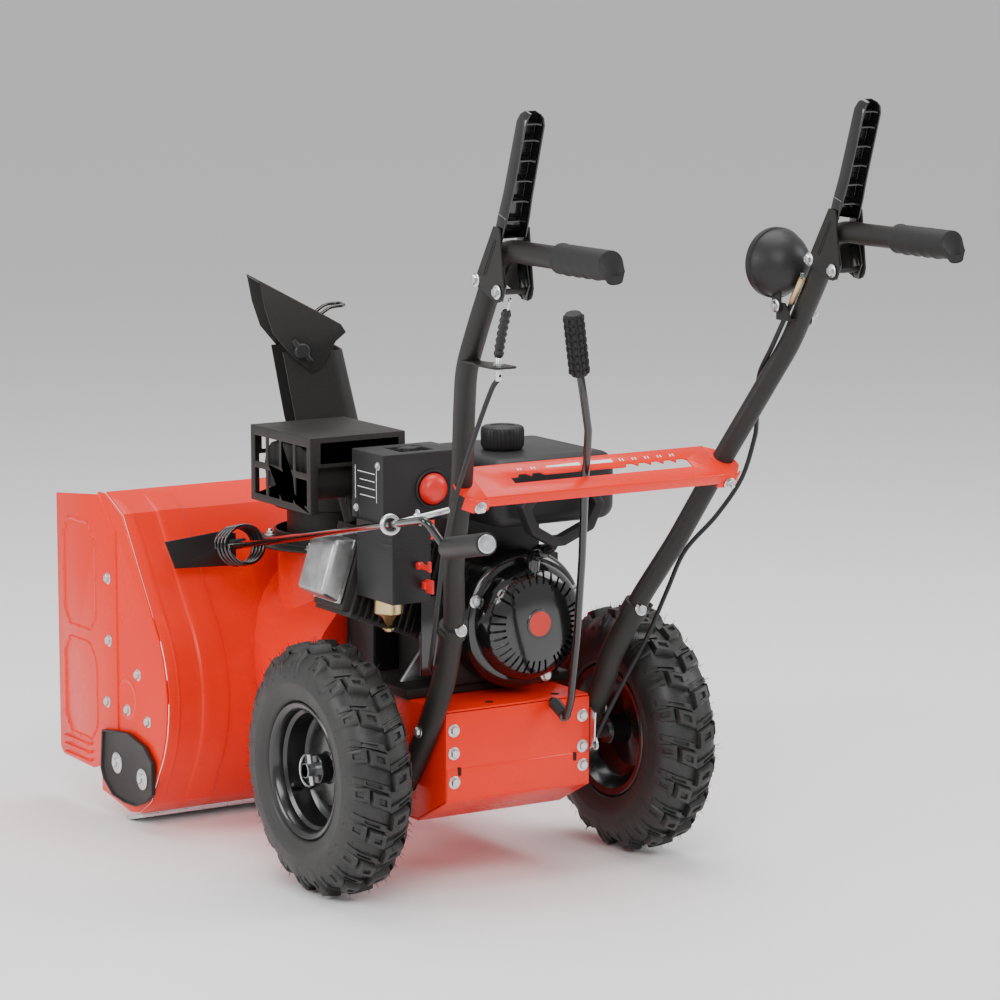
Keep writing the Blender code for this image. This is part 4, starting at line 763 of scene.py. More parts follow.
fitted(obj_of(coil, "crank_worm"), GLOSS, "crank", "black_paint", smooth=60)
sleeve = bmesh.new()
spun(sleeve, [(0.0056, 0.008), (0.0118, 0.008), (0.0135, 0.0095), (0.0135, 0.1285), (0.0120, 0.130),
              (0.0056, 0.130)], knuckle, along, 48)
fitted(obj_of(sleeve, "crank_sleeve"), PLASTIC, "crank", "black_paint")
cap = bmesh.new()
spun(cap, [(0, 0.1295), (0.0110, 0.1295), (0.0110, 0.1310), (0.0100, 0.1318), (0, 0.1318)], knuckle, along,
     36)
fitted(obj_of(cap, "crank_washer"), ZINC, "crank", "zinc_steel")
placed("crank_end_bolt", SCREW, [(knuckle + along * 0.1312, along)], ZINC, "crank", "zinc_steel")

# Eyebolt: the crank's bearing, its shank screwed through the left tube between two
# washers and nuts.

shank_end = spot(-0.186, -0.247, 0.534)
to_tube = (shank_end - eye).normalized()
eyebolt = bmesh.new()
bar(eyebolt, [eye + 0.0100 * (math.cos(math.tau * k / 40) * side + math.sin(math.tau * k / 40) * up)
              for k in range(40)], 0.0036, 14, closed=True)
length = (shank_end - eye).length
thread = [eye + to_tube * (0.012 + (length - 0.010) * k / 60) for k in range(61)]
bar(eyebolt, thread, [0.0036 + 0.00035 * (k % 2) for k in range(61)], 14)
for far, radius, thick in ((0.036, 0.0105, 0.0016), (length + 0.012, 0.0105, 0.0016)):
    spun(eyebolt, [(0.0036, 0), (radius, 0), (radius, thick), (0.0036, thick)], eye + to_tube * far,
         to_tube, 30)
fitted(obj_of(eyebolt, "crank_eyebolt"), ZINC, "chassis", "zinc_steel", smooth=50)
placed("eyebolt_nuts", BOLT, [(eye + to_tube * 0.036, -to_tube),
                              (eye + to_tube * (length + 0.0136), to_tube)],
       ZINC, "chassis", "zinc_steel")

# Wheels: black stepped rims pressed from sheet, with a hub that a bright pin fixes to
# the axle, and knobbly tyres whose blocks still carry their moulding hairs.

tyre_low, tyre_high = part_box("tire_right")
tyre_radius = (tyre_high.z - tyre_low.z) / 2
half = (tyre_high.x - tyre_low.x) / 2
wheel_x = (tyre_high.x + tyre_low.x) / 2 - axle_at.x
rim_radius = 0.084


def tyre_rubber():
    finish = Finish("tyre_rubber", Specular_IOR_Level=0.5)
    cloud = finish.noise(22, 5)
    fine = finish.noise(480, 3)
    return finish.paint(Base_Color=finish.blend(finish.ramp(cloud, 0.35, 0.7), (0.013, 0.013, 0.013),
                                                (0.024, 0.023, 0.022)),
                        Roughness=finish.ramp(cloud, 0.25, 0.75, 0.38, 0.62),
                        Normal=finish.bump(fine, 0.00012))


TYRE = tyre_rubber()
RIM_PAINT = moulded("rim_black_enamel", (0.008, 0.008, 0.008), 0.24, 260, 0.00006, Coat_Weight=0.35,
                    Coat_Roughness=0.12)
crown = [(0, tyre_radius - 0.0095), (0.012, tyre_radius - 0.0098), (0.026, tyre_radius - 0.0125),
         (0.036, tyre_radius - 0.019), (0.0425, tyre_radius - 0.0275), (half - 0.0006, tyre_radius - 0.040)]


def carcass(x):
    """Radius of the tyre's body under its blocks, this far from its middle."""
    x = abs(x)
    for (x0, r0), (x1, r1) in zip(crown, crown[1:]):
        if x <= x1:
            return r0 + (r1 - r0) * (x - x0) / (x1 - x0)
    return crown[-1][1]


def tread_block(hand, inner, outer, width, lean, lift_in, lift_out, start):
    """A moulded block with a pocket in its face, at the top of the tyre, running from inner to outer."""
    bm = bmesh.new()
    rings = []
    stops = (0, 0.04, 0.26, 0.32, 0.68, 0.74, 0.96, 1)
    for t in stops:
        x = inner + (outer - inner) * t
        foot = carcass(x) - 0.002
        rise = lift_in + (lift_out - lift_in) * t
        top = carcass(x) + rise * (0.72 if t in (0, 1) else 1.0)
        pocket = 0.0034 if 0.3 < t < 0.7 else 0.0
        middle = start + lean * (x - inner)
        wide = width * (1.0 - 0.10 * t)
        profile = [(-wide * 0.62, foot), (-wide * 0.5, top - 0.0012), (-wide * 0.44, top),
                   (-wide * 0.22, top),
                   (-wide * 0.17, top - pocket), (wide * 0.17, top - pocket), (wide * 0.22, top),
                   (wide * 0.44, top), (wide * 0.5, top - 0.0012), (wide * 0.62, foot)]
        ring = []
        for y, r in profile:
            angle = (middle + y) / tyre_radius
            ring.append(Vector((hand * x, math.sin(angle) * r, math.cos(angle) * r)))
        rings.append(ring)
    strip(bm, rings)
    made = obj_of(bm, "block_shape")
    made.hide_render = True
    return made


pitches = 19
pitch = math.tau / pitches
spike = bmesh.new()
strip(spike, [[Vector((math.cos(math.tau * k / 3) * r, math.sin(math.tau * k / 3) * r, z)) for k in range(3)]
              for r, z in ((0.00045, 0), (0.0003, 0.004), (0.00012, 0.0085))])
hair_shape = obj_of(spike, "hair_shape")
hair_shape.hide_render = True
blocks = {}
for hand in (-1, 1):
    blocks[hand] = (tread_block(hand, 0.0022, 0.0265, 0.0210, 0.42, 0.0095, 0.0105, -0.003),
                    tread_block(hand, 0.0300, half - 0.0012, 0.0195, 0.10, 0.0085, 0.0012, 0.011),
                    tread_block(hand, 0.0010, half - 0.0040, 0.0105, 0.42, 0.0040, 0.0030, 0.0150))
for side, sign in (("left", -1), ("right", 1)):
    centre = spot(sign * wheel_x, 0, axle_at.z)
    tyre = bmesh.new()
    wall_line = [(rim_radius + 0.0004, half - 0.0145), (rim_radius + 0.0058, half - 0.0127),
                 (rim_radius + 0.0075, half - 0.0070), (rim_radius + 0.0110, half - 0.0042),
                 (rim_radius + 0.0128, half - 0.0042), (rim_radius + 0.0150, half - 0.0026),
                 (rim_radius + 0.0250, half - 0.0008), (0.1120, half - 0.0003), (0.1135, half + 0.0),
                 (0.1165, half + 0.0), (0.1180, half - 0.0004), (0.1250, half - 0.0006)]
    shoulder = [(r, x) for x, r in reversed(crown[1:])]
    outline = wall_line + shoulder
    outline = outline + [(tyre_radius - 0.0095, 0)] + [(r, -x) for r, x in reversed(outline)]
    spun(tyre, outline, centre, (sign, 0, 0), 120)
    fitted(obj_of(tyre, f"tire_{side}_carcass"), TYRE, "running_gear", "tyre", f"tire_{side}", smooth=40)
    for hand in (-1, 1):
        for j, shape in enumerate(blocks[hand]):
            offset = 0 if hand < 0 else pitch / 2
            placed(f"tire_{side}_blocks_{'in' if hand < 0 else 'out'}_{j}", shape,
                   [(centre, Euler((pitch * k + offset, 0, 0))) for k in range(pitches)], TYRE,
                   "running_gear", "tyre")
    hairs = []
    rng = random.Random(7 if sign < 0 else 8)
    for k in range(pitches * 2 * 9):
        angle = math.tau * k / (pitches * 2 * 9) + rng.uniform(-0.012, 0.012)
        if min(angle % math.tau, -angle % math.tau) < math.radians(20):
            continue
        x = rng.choice((-1, 1)) * rng.uniform(0.004, half - 0.004)
        out = Vector((0, math.sin(angle), -math.cos(angle)))
        root = carcass(x) + (0.0075 if abs(x) < 0.03 else 0.0045)
        leaning = (out + Vector((0.16 * x / half * 3 * rng.uniform(0.3, 1), 0, 0))
                   + Vector((rng.uniform(-0.25, 0.25), rng.uniform(-0.25, 0.25),
                             rng.uniform(-0.25, 0.25)))).normalized()
        hairs.append((centre + Vector((x, 0, 0)) + out * root, leaning))
    for k in range(26):
        angle = math.tau * k / 26 + rng.uniform(-0.05, 0.05)
        out = Vector((0, math.sin(angle), math.cos(angle)))
        for x in (-1, 1):
            hairs.append((centre + Vector((x * (half - 0.002), 0, 0)) + out * rng.uniform(0.118, 0.124),
                          (out * 0.8 + Vector((x * 0.55, 0, 0))).normalized()))
    placed(f"tire_{side}_hairs", hair_shape, hairs, TYRE, "running_gear", "tyre")
    rim = bmesh.new()
    disc = [(0.0098, -0.040), (0.0178, -0.040), (0.0190, -0.0385), (0.019, -0.0095), (0.0215, -0.0072),
            (0.052, -0.002), (0.0545, -0.0025), (0.066, -0.0125), (0.0700, -0.0160), (0.0742, -0.0285),
            (rim_radius - 0.0062, -half + 0.0125), (rim_radius - 0.0045, -half + 0.0090),
            (rim_radius + 0.0035, -half + 0.0068), (rim_radius + 0.005, -half + 0.008),
            (rim_radius + 0.005, -half + 0.0115), (rim_radius + 0.001, -half + 0.0136),
            (rim_radius, -half + 0.016), (rim_radius, half - 0.016), (rim_radius + 0.001, half - 0.0136),
            (rim_radius + 0.005, half - 0.0115), (rim_radius + 0.005, half - 0.008),
            (rim_radius + 0.0035, half - 0.0068), (rim_radius - 0.0015, half - 0.0080),
            (rim_radius - 0.0040, half - 0.0110), (rim_radius - 0.0060, 0.0250),
            (rim_radius - 0.0105, 0.0215),
            (rim_radius - 0.0120, -0.0040), (rim_radius - 0.0180, -0.0085), (0.0625, -0.0085),
            (0.0500, 0.0015),
            (0.0480, 0.0022), (0.0215, 0.0022), (0.0193, 0.0040), (0.0188, 0.0190), (0.0176, 0.0200),
            (0.0098, 0.0200)]
    spun(rim, disc, centre, (sign, 0, 0), 96)
    fitted(obj_of(rim, f"rim_{side}_finished"), RIM_PAINT, "running_gear", "black_paint", f"rim_{side}",
           smooth=38)
    pin = bmesh.new()
    at = centre + Vector((sign * 0.0265, 0, 0))
    bar(pin, [at + Vector((0, 0.004, 0.0190)), at + Vector((0, -0.004, -0.0190))], 0.0034, 16)
    ring_line = [at + Vector((sign * (0.004 + 0.012 * math.sin(math.pi * k / 14)),
                              0.004 * math.cos(math.pi * k / 14),
                              0.0205 * math.cos(math.pi * k / 14))) for k in range(15)]
    bar(pin, ring_line, 0.0012, 10)
    spun(pin, [(0.0, 0.036), (0.0088, 0.036), (0.0095, 0.0352), (0.0095, 0.020), (0.0, 0.020)], centre,
         (sign, 0, 0), 40)
    fitted(obj_of(pin, f"wheel_pin_{side}"), ZINC, "running_gear", "zinc_steel")
    valve = bmesh.new()
    spun(valve, [(0, 0.0), (0.0042, 0.0), (0.0036, 0.010), (0.0026, 0.012), (0.0026, 0.021), (0.0022, 0.0225),
                 (0, 0.0225)], centre + Vector((sign * 0.004, 0.060, -0.034)), (sign, -0.35, 0.2), 20)
    fitted(obj_of(valve, f"tyre_valve_{side}"), TYRE, "running_gear", "tyre")
fitted(eased("axle", 0.0004), ZINC, "running_gear", "zinc_steel", "axle", smooth=30)

# Drive inside the frame: hexagon shaft, rubber-faced friction wheel, driving plate,
# pulleys, belts and their idlers.

for node, finish, body, slot_name in (
        ("hex_shaft", ZINC, "final_shaft", "zinc_steel"),
                                      ("drive_idler", ZINC, "drive_tensioner", "zinc_steel"),
        ("crankshaft", ZINC, "engine_shaft", "zinc_steel"),
                                      ("drive_disc", ZINC, "driving_plate", "cast_aluminium"),
        ("auger_idler", PLASTIC, "auger_tensioner", "black_plastic")):
    fitted(eased(node, 0.0004), finish, body, slot_name, node, smooth=30)
RUBBER = moulded("black_rubber", (0.014, 0.014, 0.014), 0.62, 900, 0.00015, Specular_IOR_Level=0.3)
for node, body in (("friction_wheel", "friction_disc"), ("auger_belt", "chassis"), ("drive_belt", "chassis")):
    fitted(eased(node, 0.0006), RUBBER, body, "rubber", node, smooth=30)

# Frame under the engine: folded red plates, the rear one overlapping at a crease,
# with zinc flange bolts along its edges and two short slots.

fitted(eased("transmission_frame", 0.0008, 3), RED, "chassis", "red_enamel", "transmission_frame", smooth=30)
fitted(eased("rear_cover", 0.0008, 3), RED, "chassis", "red_enamel", "rear_cover", smooth=30)
frame_low, frame_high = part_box("rear_cover")
cover_back = frame_low.y - axle_at.y
frame_half = frame_high.x - axle_at.x
joggle = bmesh.new()
crease = 0.1645
line = [(cover_back + 0.0004, crease), (cover_back - 0.0012, crease - 0.0022), (cover_back - 0.0012, 0.1217),
        (-0.0176, 0.0838), (0.19, 0.0838), (0.19, 0.0850), (-0.0170, 0.0850), (cover_back + 0.0004, 0.1222)]
slab(joggle, line, "X", -frame_half + 0.0012, frame_half - 0.0012)
fitted(rounded(obj_of(joggle, "rear_lower_plate"), 0.0004), RED, "chassis", "red_enamel")
back_way = Vector((0, -1, 0))
places = [(spot(x, cover_back, z), back_way) for x, z in ((-0.098, 0.214), (-0.098, 0.184), (0.099, 0.212),
                                                         (0.099, 0.171))]
places += [(spot(x, cover_back - 0.0012, z), back_way) for x, z in ((-0.098, 0.146), (0.099, 0.146))]
placed("frame_bolts", BOLT, places, ZINC, "chassis", "zinc_steel")
slots = bmesh.new()
for x, z in ((-0.0905, 0.159), (0.0865, 0.158)):
    block(slots, (x - 0.0022, cover_back - 0.0015, z - 0.005), (x + 0.0022, cover_back - 0.0008, z + 0.006))
DARK = moulded("shadowed_hollow", (0.004, 0.004, 0.004), 0.8, 600)
fitted(rounded(obj_of(slots, "frame_slots"), 0.0012), DARK, "chassis", "black_paint")
top_holes = bmesh.new()
frame_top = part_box("transmission_frame")[1].z
for x, y in ((-0.030, -0.064), (0.070, -0.066)):
    spun(top_holes, [(0, 0), (0.0055, 0), (0.0055, 0.0004), (0, 0.0004)], spot(x, y, frame_top), (0, 0, 1),
         24)
fitted(obj_of(top_holes, "frame_top_holes"), DARK, "chassis", "black_paint")
for k, x in enumerate((-1, 1)):
    places = [(spot(x * (frame_half + 0.0002), y, z), (x, 0, 0)) for y,
              z in ((0.05, 0.222), (0.16, 0.222), (0.16, 0.110))]
    placed(f"frame_side_bolts_{k}", BOLT, places, ZINC, "chassis", "zinc_steel")
bracket = bmesh.new()
slab(bracket, [(-0.086, 0.222), (-0.100, 0.216), (-0.098, 0.178), (-0.088, 0.166), (-0.084, 0.170)], "X",
     frame_half + 0.0006, frame_half + 0.0026)
bar(bracket, curve_through([spot(0.1135, -0.088, 0.172), spot(0.1150, -0.094, 0.166),
                            spot(0.1165, -0.098, 0.170),
                            spot(0.1170, -0.093, 0.180)], 6), 0.0016, 10)
fitted(obj_of(bracket, "drive_cable_bracket"), ZINC, "chassis", "zinc_steel")

# Handlebars: lower tubes flattened where they bolt to the frame, upper tubes pushed
# into them under a clamp, all in fine-textured black powder coat.

tube_radius, lower_radius, handle_x = 0.0135, 0.0155, 0.241
grip_z = 0.868
lever_pivot = Vector(joints["auger_lever_turn"]["pos_m"])
pivot_y, pivot_z = lever_pivot.y - axle_at.y, lever_pivot.z
for side, sign in (("left", -1), ("right", 1)):
    foot_x = frame_half + lower_radius + 0.001
    lower = bmesh.new()
    route = curve_through([spot(sign * x, y, z) for x, y, z in (
        (foot_x, -0.012, 0.133), (foot_x, -0.040, 0.171), (foot_x, -0.071, 0.217),
                                                                (foot_x + 0.0005, -0.098, 0.262),
        (foot_x + 0.001, -0.116, 0.299), (0.1385, -0.1508, 0.3600))], 8)
    bar(lower, route, lower_radius, 32)
    fitted(obj_of(lower, f"lower_handle_{side}_tube"), BLACK, "chassis", "black_paint",
           f"lower_handle_{side}")
    placed(f"lower_handle_bolts_{side}", BOLT,
           [(spot(sign * (foot_x + lower_radius - 0.0008), y, z), (sign, 0, 0))
            for y, z in ((-0.071, 0.215), (-0.028, 0.152))], ZINC, "chassis", "zinc_steel")
    upper = bmesh.new()
    knees = [(0.13862, -0.15114, 0.3606), (0.1428, -0.1628, 0.3815), (0.1553, -0.1834, 0.419),
             (0.168, -0.204, 0.457),
             (0.1815, -0.236, 0.514), (0.195, -0.268, 0.571), (0.2105, -0.297, 0.625), (0.226, -0.326, 0.679),
             (0.2365, -0.349, 0.720), (0.2395, -0.374, 0.763), (handle_x, -0.400, 0.806),
             (handle_x, -0.4235, 0.847),
             (handle_x, -0.438, 0.862), (handle_x, -0.460, grip_z), (handle_x, -0.50, grip_z),
             (handle_x, -0.56, grip_z), (handle_x, -0.655, grip_z)]
    bar(upper, curve_through([spot(sign * x, y, z) for x, y, z in knees], 5), tube_radius, 32)
    joint_low, joint_high = spot(sign * 0.1362, -0.147, 0.353), spot(sign * 0.1402, -0.1553, 0.3682)
    bar(upper, [joint_low, joint_high], lower_radius + 0.0022, 32)
    lug = (joint_low + joint_high) / 2
    for hand in (-1, 1):
        block_at = lug + Vector((sign * 0.0195, 0, 0)) + Vector((0, 0.0035 * hand, 0))
        bar(upper, [block_at + Vector((-0.006 * sign, 0, -0.006)),
                    block_at + Vector((0.004 * sign, 0, 0.004))], 0.0034, 12)
    ear = [(0.054, 0.006), (0.010, 0.076), (-0.003, 0.074), (-0.012, 0.003), (-0.0105, -0.004),
           (-0.007, -0.0095),
           (0.0, -0.0122), (0.007, -0.0115)]
    for offset in (-1, 1):
        x = sign * handle_x + offset * 0.0190
        slab(upper, [(pivot_y + a, pivot_z + b) for a, b in ear], "X", *sorted((x, x + offset * 0.002)))
        edge_x = sign * handle_x + offset * 0.0211
        slot_line = [spot(edge_x, pivot_y + a, pivot_z + b) for a, b in
                     ((0.031, 0.020), (0.0085, 0.059), (0.0065, 0.0600), (0.0050, 0.0585), (0.0275, 0.0180),
                      (0.0300, 0.0175))]
        bar(upper, slot_line, 0.0007, 6, closed=True)
    bar(upper, [spot(sign * handle_x - 0.0222, pivot_y, pivot_z),
                spot(sign * handle_x + 0.0222, pivot_y, pivot_z)],
        0.0036, 20)
    if sign < 0:
        slab(upper, [(-0.257, -0.440), (-0.254, -0.445), (-0.230, -0.446), (-0.225, -0.441), (-0.225, -0.400),
                     (-0.231, -0.386), (-0.231, -0.356), (-0.251, -0.356), (-0.251, -0.386),
                     (-0.257, -0.400)],
             "Z", 0.7290, 0.7313)
    else:
        slab(upper, [(-0.376, 0.752), (-0.350, 0.752), (-0.350, 0.768), (-0.355, 0.774), (-0.366, 0.774),
                     (-0.376, 0.764)], "X", 0.2146, 0.2172)
        block(upper, (0.2150, -0.3757, 0.7522), (0.2300, -0.366, 0.7546))
    fitted(obj_of(upper, f"upper_handle_{side}_tube"), BLACK, "chassis", "black_paint",
           f"upper_handle_{side}",
           smooth=30)
    heads = [(spot(sign * handle_x + offset * 0.0222, pivot_y, pivot_z), (offset, 0, 0))
             for offset in (-1, 1)]
    heads += [(spot(sign * handle_x + offset * 0.0211, -0.4105, 0.832), (offset, 0, 0)) for offset in (-1, 1)]
    heads.append((lug + Vector((sign * -0.002, -lower_radius - 0.0018, 0.002)), (0, -1, 0.3)))
    placed(f"upper_handle_bolts_{side}", BOLT, heads, ZINC, "chassis", "zinc_steel")
    grip = bmesh.new()
    outline = []
    for k in range(73):
        t = k / 72
        y = -0.562 - 0.1015 * t
        bump = 0.0011 * (1 - math.cos(math.tau * (t - 0.10) / 0.19)) / 2 if 0.10 < t < 0.86 else 0.0
        radius = 0.0172 + (0.0008 if t < 0.045 else 0.0)
        outline.append((y, radius if t > 0.012 else 0.0160, bump))
    rings = []
    for y, radius, bump in outline:
        ring = []
        for k in range(40):
            angle = math.tau * k / 40
            under = max(0.0, -math.sin(angle)) ** 2
            r = radius + bump * (0.35 + 1.1 * under) * (1 if under > 0.02 else 0.4)
            ring.append(spot(sign * handle_x + r * math.cos(angle), y, grip_z + r * math.sin(angle)))
        rings.append(ring)
    for y, z, radius in ((-0.6655, grip_z - 0.0010, 0.0166), (-0.6690, grip_z - 0.0040, 0.0148),
                         (-0.6705, grip_z - 0.0100, 0.0128), (-0.6712, grip_z - 0.0160, 0.0112)):
        tilt = min(1.0, (-0.6635 - y) / 0.006)
        ring = []
        for k in range(40):
            angle = math.tau * k / 40
            reach = radius * math.sin(angle)
            ring.append(spot(sign * handle_x + radius * math.cos(angle),
                             max(y + reach * 0.56 * tilt, -0.6718),
                             z + reach * (1 - 0.55 * tilt)))
        rings.append(ring)
    strip(grip, rings)
    fitted(obj_of(grip, f"grip_{side}_rubber"), RUBBER, "chassis", "rubber", f"grip_{side}", smooth=50)

headlamp_bolt = [(spot(0.2395 + 0.0128, -0.371, 0.757), (1, -0.35, 0.1))]
placed("headlight_bracket_bolt", NUT, headlamp_bolt, ZINC, "chassis", "zinc_steel")
big_washer = bmesh.new()
spun(big_washer, [(0, 0), (0.0125, 0), (0.0125, 0.0013), (0.0118, 0.0018), (0, 0.0018)],
     spot(0.2395 + 0.0115, -0.3705, 0.757), (1, -0.35, 0.1), 36)
fitted(obj_of(big_washer, "headlight_bracket_washer"), ZINC, "chassis", "zinc_steel")

# Clutch levers: glossy pressed channels with cross ribs, forked at the foot and
# hinged on a bolt through the ears.

for sign, body, node in ((-1, "auger_clutch_lever", "auger_lever"), (1, "drive_clutch_lever", "drive_lever")):
    fitted(eased(node, 0.0006, 3), GLOSS, body, "gloss_black", node, smooth=30)
    foot = spot(sign * handle_x, pivot_y, pivot_z)
    rise = Vector((0, -0.310, 0.951)).normalized()
    front = Vector((0, rise.z, -rise.y))
    ribs = bmesh.new()
    for far in (0.078, 0.103, 0.128, 0.153, 0.178, 0.198):
        half_wide = 0.0145 if far < 0.09 else 0.0125
        at = foot + rise * far
        line = [at + Vector((a, 0, 0)) + front * b for a, b in
                ((-half_wide, 0.0330), (-half_wide, 0.0185), (-half_wide * 0.6, 0.0225),
                 (half_wide * 0.6, 0.0225),
                 (half_wide, 0.0185), (half_wide, 0.0330))]
        strip(ribs, [[p - rise * 0.0012 for p in line], [p + rise * 0.0012 for p in line]])
    fitted(rounded(obj_of(ribs, f"{node}_ribs"), 0.0005), GLOSS, body, "gloss_black")
    hook = bmesh.new()
    low = spot(sign * handle_x if sign < 0 else 0.2228, -0.4515 if sign < 0 else -0.3930, 0.8105)
    spun(hook, [(0.0016, -0.0012), (0.0030, -0.0012), (0.0030, 0.0012), (0.0016, 0.0012)], low, (1, 0, 0), 20)
    fitted(obj_of(hook, f"{node}_cable_eye"), ZINC, "chassis", "zinc_steel")

# Cross panel between the bars: one folded red strip with a long notched slot for the
# gear lever, white marks beside the notches, and a wrapped clamp at each end.

panel_y, panel_z, panel_tilt, depth = -0.270, 0.566, math.radians(29.5), 0.030


def panel_spot(x, out, height):
    return spot(x, panel_y + out * math.cos(panel_tilt) - height * math.sin(panel_tilt),
                panel_z + out * math.sin(panel_tilt) + height * math.cos(panel_tilt))


thick = 0.0022
panel = bmesh.new()
outline = [(-depth - thick, -0.012), (-depth - thick, thick - 0.0012), (-depth - thick + 0.0012, thick),
           (depth, thick),
           (depth, 0), (-depth + 0.0006, 0), (-depth, -0.0006), (-depth, -0.012)]
strip(panel, [[panel_spot(x, a, b) for a, b in outline] for x in (-0.1775, 0.1775)])
panel_obj = obj_of(panel, "shift_panel_strip")
notches = bmesh.new()
edge = [(-0.125, -0.009), (0.140, -0.009), (0.140, 0.006)]
for k in range(5):
    x = 0.134 - 0.019 * k
    edge += [(x, 0.009), (x - 0.009, 0.009), (x - 0.0125, 0.0030)]
edge += [(0.030, 0.0030), (0.018, 0.004), (-0.070, 0.004), (-0.0745, 0.0045)]
for k in range(2):
    x = -0.080 - 0.020 * k
    edge += [(x, 0.009), (x - 0.010, 0.009), (x - 0.0135, 0.0035)]
edge += [(-0.125, 0.0035)]
strip(notches, [[panel_spot(x, a, b) for x, a in edge] for b in (-0.006, 0.008)])
carved(panel_obj, obj_of(notches, "notches"))
fitted(rounded(panel_obj, 0.0004), RED, "chassis", "red_enamel", "shift_panel", smooth=30)
WHITE = moulded("white_marking_ink", (0.78, 0.78, 0.76), 0.45, 900)
marks = bmesh.new()
for x in (0.122, 0.103, 0.084, 0.065, 0.046, -0.085, -0.105):
    for a, wide, deep in ((0.0170, 0.0022, 0.0045), (0.0170, 0.0006, 0.0045)):
        for dx in (-0.0022, 0.0022):
            strip(marks, [[panel_spot(x + dx + p * wide * 0.4, a + q * deep * 0.5, thick + h) for p, q in
                           ((-1, -1), (1, -1), (1, 1), (-1, 1))] for h in (0.00002, 0.00012)])
for x0, x1, taper in ((-0.066, -0.016, 0.2), (-0.004, 0.032, 1.0)):
    a0, a1 = (0.0012, 0.0030) if taper < 1 else (0.0030, 0.0030)
    strip(marks, [[panel_spot(x, 0.0170 + q * (a0 if p < 0 else a1), thick + h) for x, p, q in
                   ((x0, -1, -1), (x1, 1, -1), (x1, 1, 1), (x0, -1, 1))] for h in (0.00002, 0.00012)])
fitted(obj_of(marks, "shift_panel_marks"), WHITE, "chassis", "red_enamel")
clamps = bmesh.new()
for sign in (-1, 1):
    line = [panel_spot(sign * 0.1765, depth - 0.001, thick * 0.5), panel_spot(sign * 0.1835, 0.026, 0.0125),
            panel_spot(sign * 0.1995, 0.020, 0.0155), panel_spot(sign * 0.2105, 0.006, 0.0085)]
    wide = [(panel_spot(sign * 0.1765, 0.029, t), panel_spot(sign * 0.1765, -0.031, t),
             panel_spot(sign * 0.1930, -0.034, t - 0.004), panel_spot(sign * 0.2100, -0.012, t - 0.002),
             panel_spot(sign * 0.2075, 0.004, t), panel_spot(sign * 0.1900, 0.022, t))
            for t in (-0.0002, 0.0022)]
    strip(clamps, [list(ring) for ring in wide])
    flange = [(panel_spot(sign * 0.1700, -0.0318, t), panel_spot(sign * 0.1930, -0.0350, t),
               panel_spot(sign * 0.2050, -0.0250, t), panel_spot(sign * 0.2030, -0.0235, t),
               panel_spot(sign * 0.1920, -0.0325, t), panel_spot(sign * 0.1700, -0.0295, t))
              for t in (-0.018, 0.0)]
    strip(clamps, [list(ring) for ring in flange])
fitted(rounded(obj_of(clamps, "shift_panel_clamps"), 0.0004), RED, "chassis", "red_enamel")
placed("shift_panel_bolts", NUT, [(panel_spot(sign * 0.1850, -0.0345, -0.010), (0, -1, -0.4))
                                  for sign in (-1, 1)],
       ZINC, "chassis", "zinc_steel")

# Gear lever: a bent black rod with a studded rubber grip, hooked into a sprung
# coupling on the pin that comes out of the frame.

lever_at = Vector(joints["gear_lever_turn"]["pos_m"])
lever_axis = Vector(joints["gear_lever_turn"]["axis"]).normalized()
shift = bmesh.new()
back_end = lever_at + lever_axis * ((-0.085 - sheet - 0.0030 + axle_at.y - lever_at.y) / lever_axis.y)
base_y = lever_at.y - axle_at.y
shift_line = [back_end, lever_at + lever_axis * 0.010, spot(0.0500, base_y - 0.0005, 0.2236),
              spot(0.0498, -0.1285, 0.229),
              spot(0.0485, -0.1345, 0.238), spot(0.046, -0.1420, 0.250), spot(0.039, -0.1592, 0.292),
              spot(0.032, -0.1765, 0.334), spot(0.022, -0.1977, 0.390), spot(0.012, -0.2190, 0.446),
              spot(-0.0165, -0.2700, 0.566), spot(-0.0215, -0.2815, 0.5945), spot(-0.026, -0.2905, 0.623),
              spot(-0.038, -0.2990, 0.664), spot(-0.050, -0.306, 0.705)]
bar(shift, shift_line, 0.005, 20)
fitted(obj_of(shift, "shift_lever_rod"), GLOSS, "gear_lever", "black_paint", "shift_lever", smooth=50)
spring_line = [lever_at + lever_axis * (0.004 + 0.030 * k / 120) + 0.0072
               * (math.cos(math.tau * 9 * k / 120) * across(lever_axis)[0]
                  + math.sin(math.tau * 9 * k / 120) * across(lever_axis)[1]) for k in range(121)]
spring = bmesh.new()
bar(spring, spring_line, 0.0012, 8)
spun(spring, [(0.0052, 0.002), (0.0088, 0.002), (0.0088, 0.0045), (0.0052, 0.0045)], lever_at, lever_axis, 32)
fitted(obj_of(spring, "shift_lever_spring"), GLOSS, "gear_lever", "black_paint", smooth=60)
knob_low, knob_high = spot(-0.048, -0.3045, 0.696), spot(-0.068, -0.320, 0.773)
knob_way = (knob_high - knob_low).normalized()
knob_long = (knob_high - knob_low).length
knob = bmesh.new()
spun(knob, [(0, -0.001), (0.0100, -0.001), (0.0108, 0.001), (0.0108, knob_long - 0.002),
            (0.0098, knob_long), (0, knob_long)],
     knob_low, knob_way, 40)
fitted(obj_of(knob, "shift_lever_grip"), RUBBER, "gear_lever", "black_paint")
nub = bmesh.new()
strip(nub, [[Vector((x * s, y * s, z)) for x, y in ((-0.0019, -0.0031), (0.0019, -0.0031), (0.0019, 0.0031),
                                                    (-0.0019, 0.0031))] for z,
            s in ((-0.001, 1), (0.0022, 1), (0.0027, 0.85))])
nub_shape = obj_of(nub, "nub_shape")
nub_shape.hide_render = True
knob_side, knob_up = across(knob_way)
nubs = []
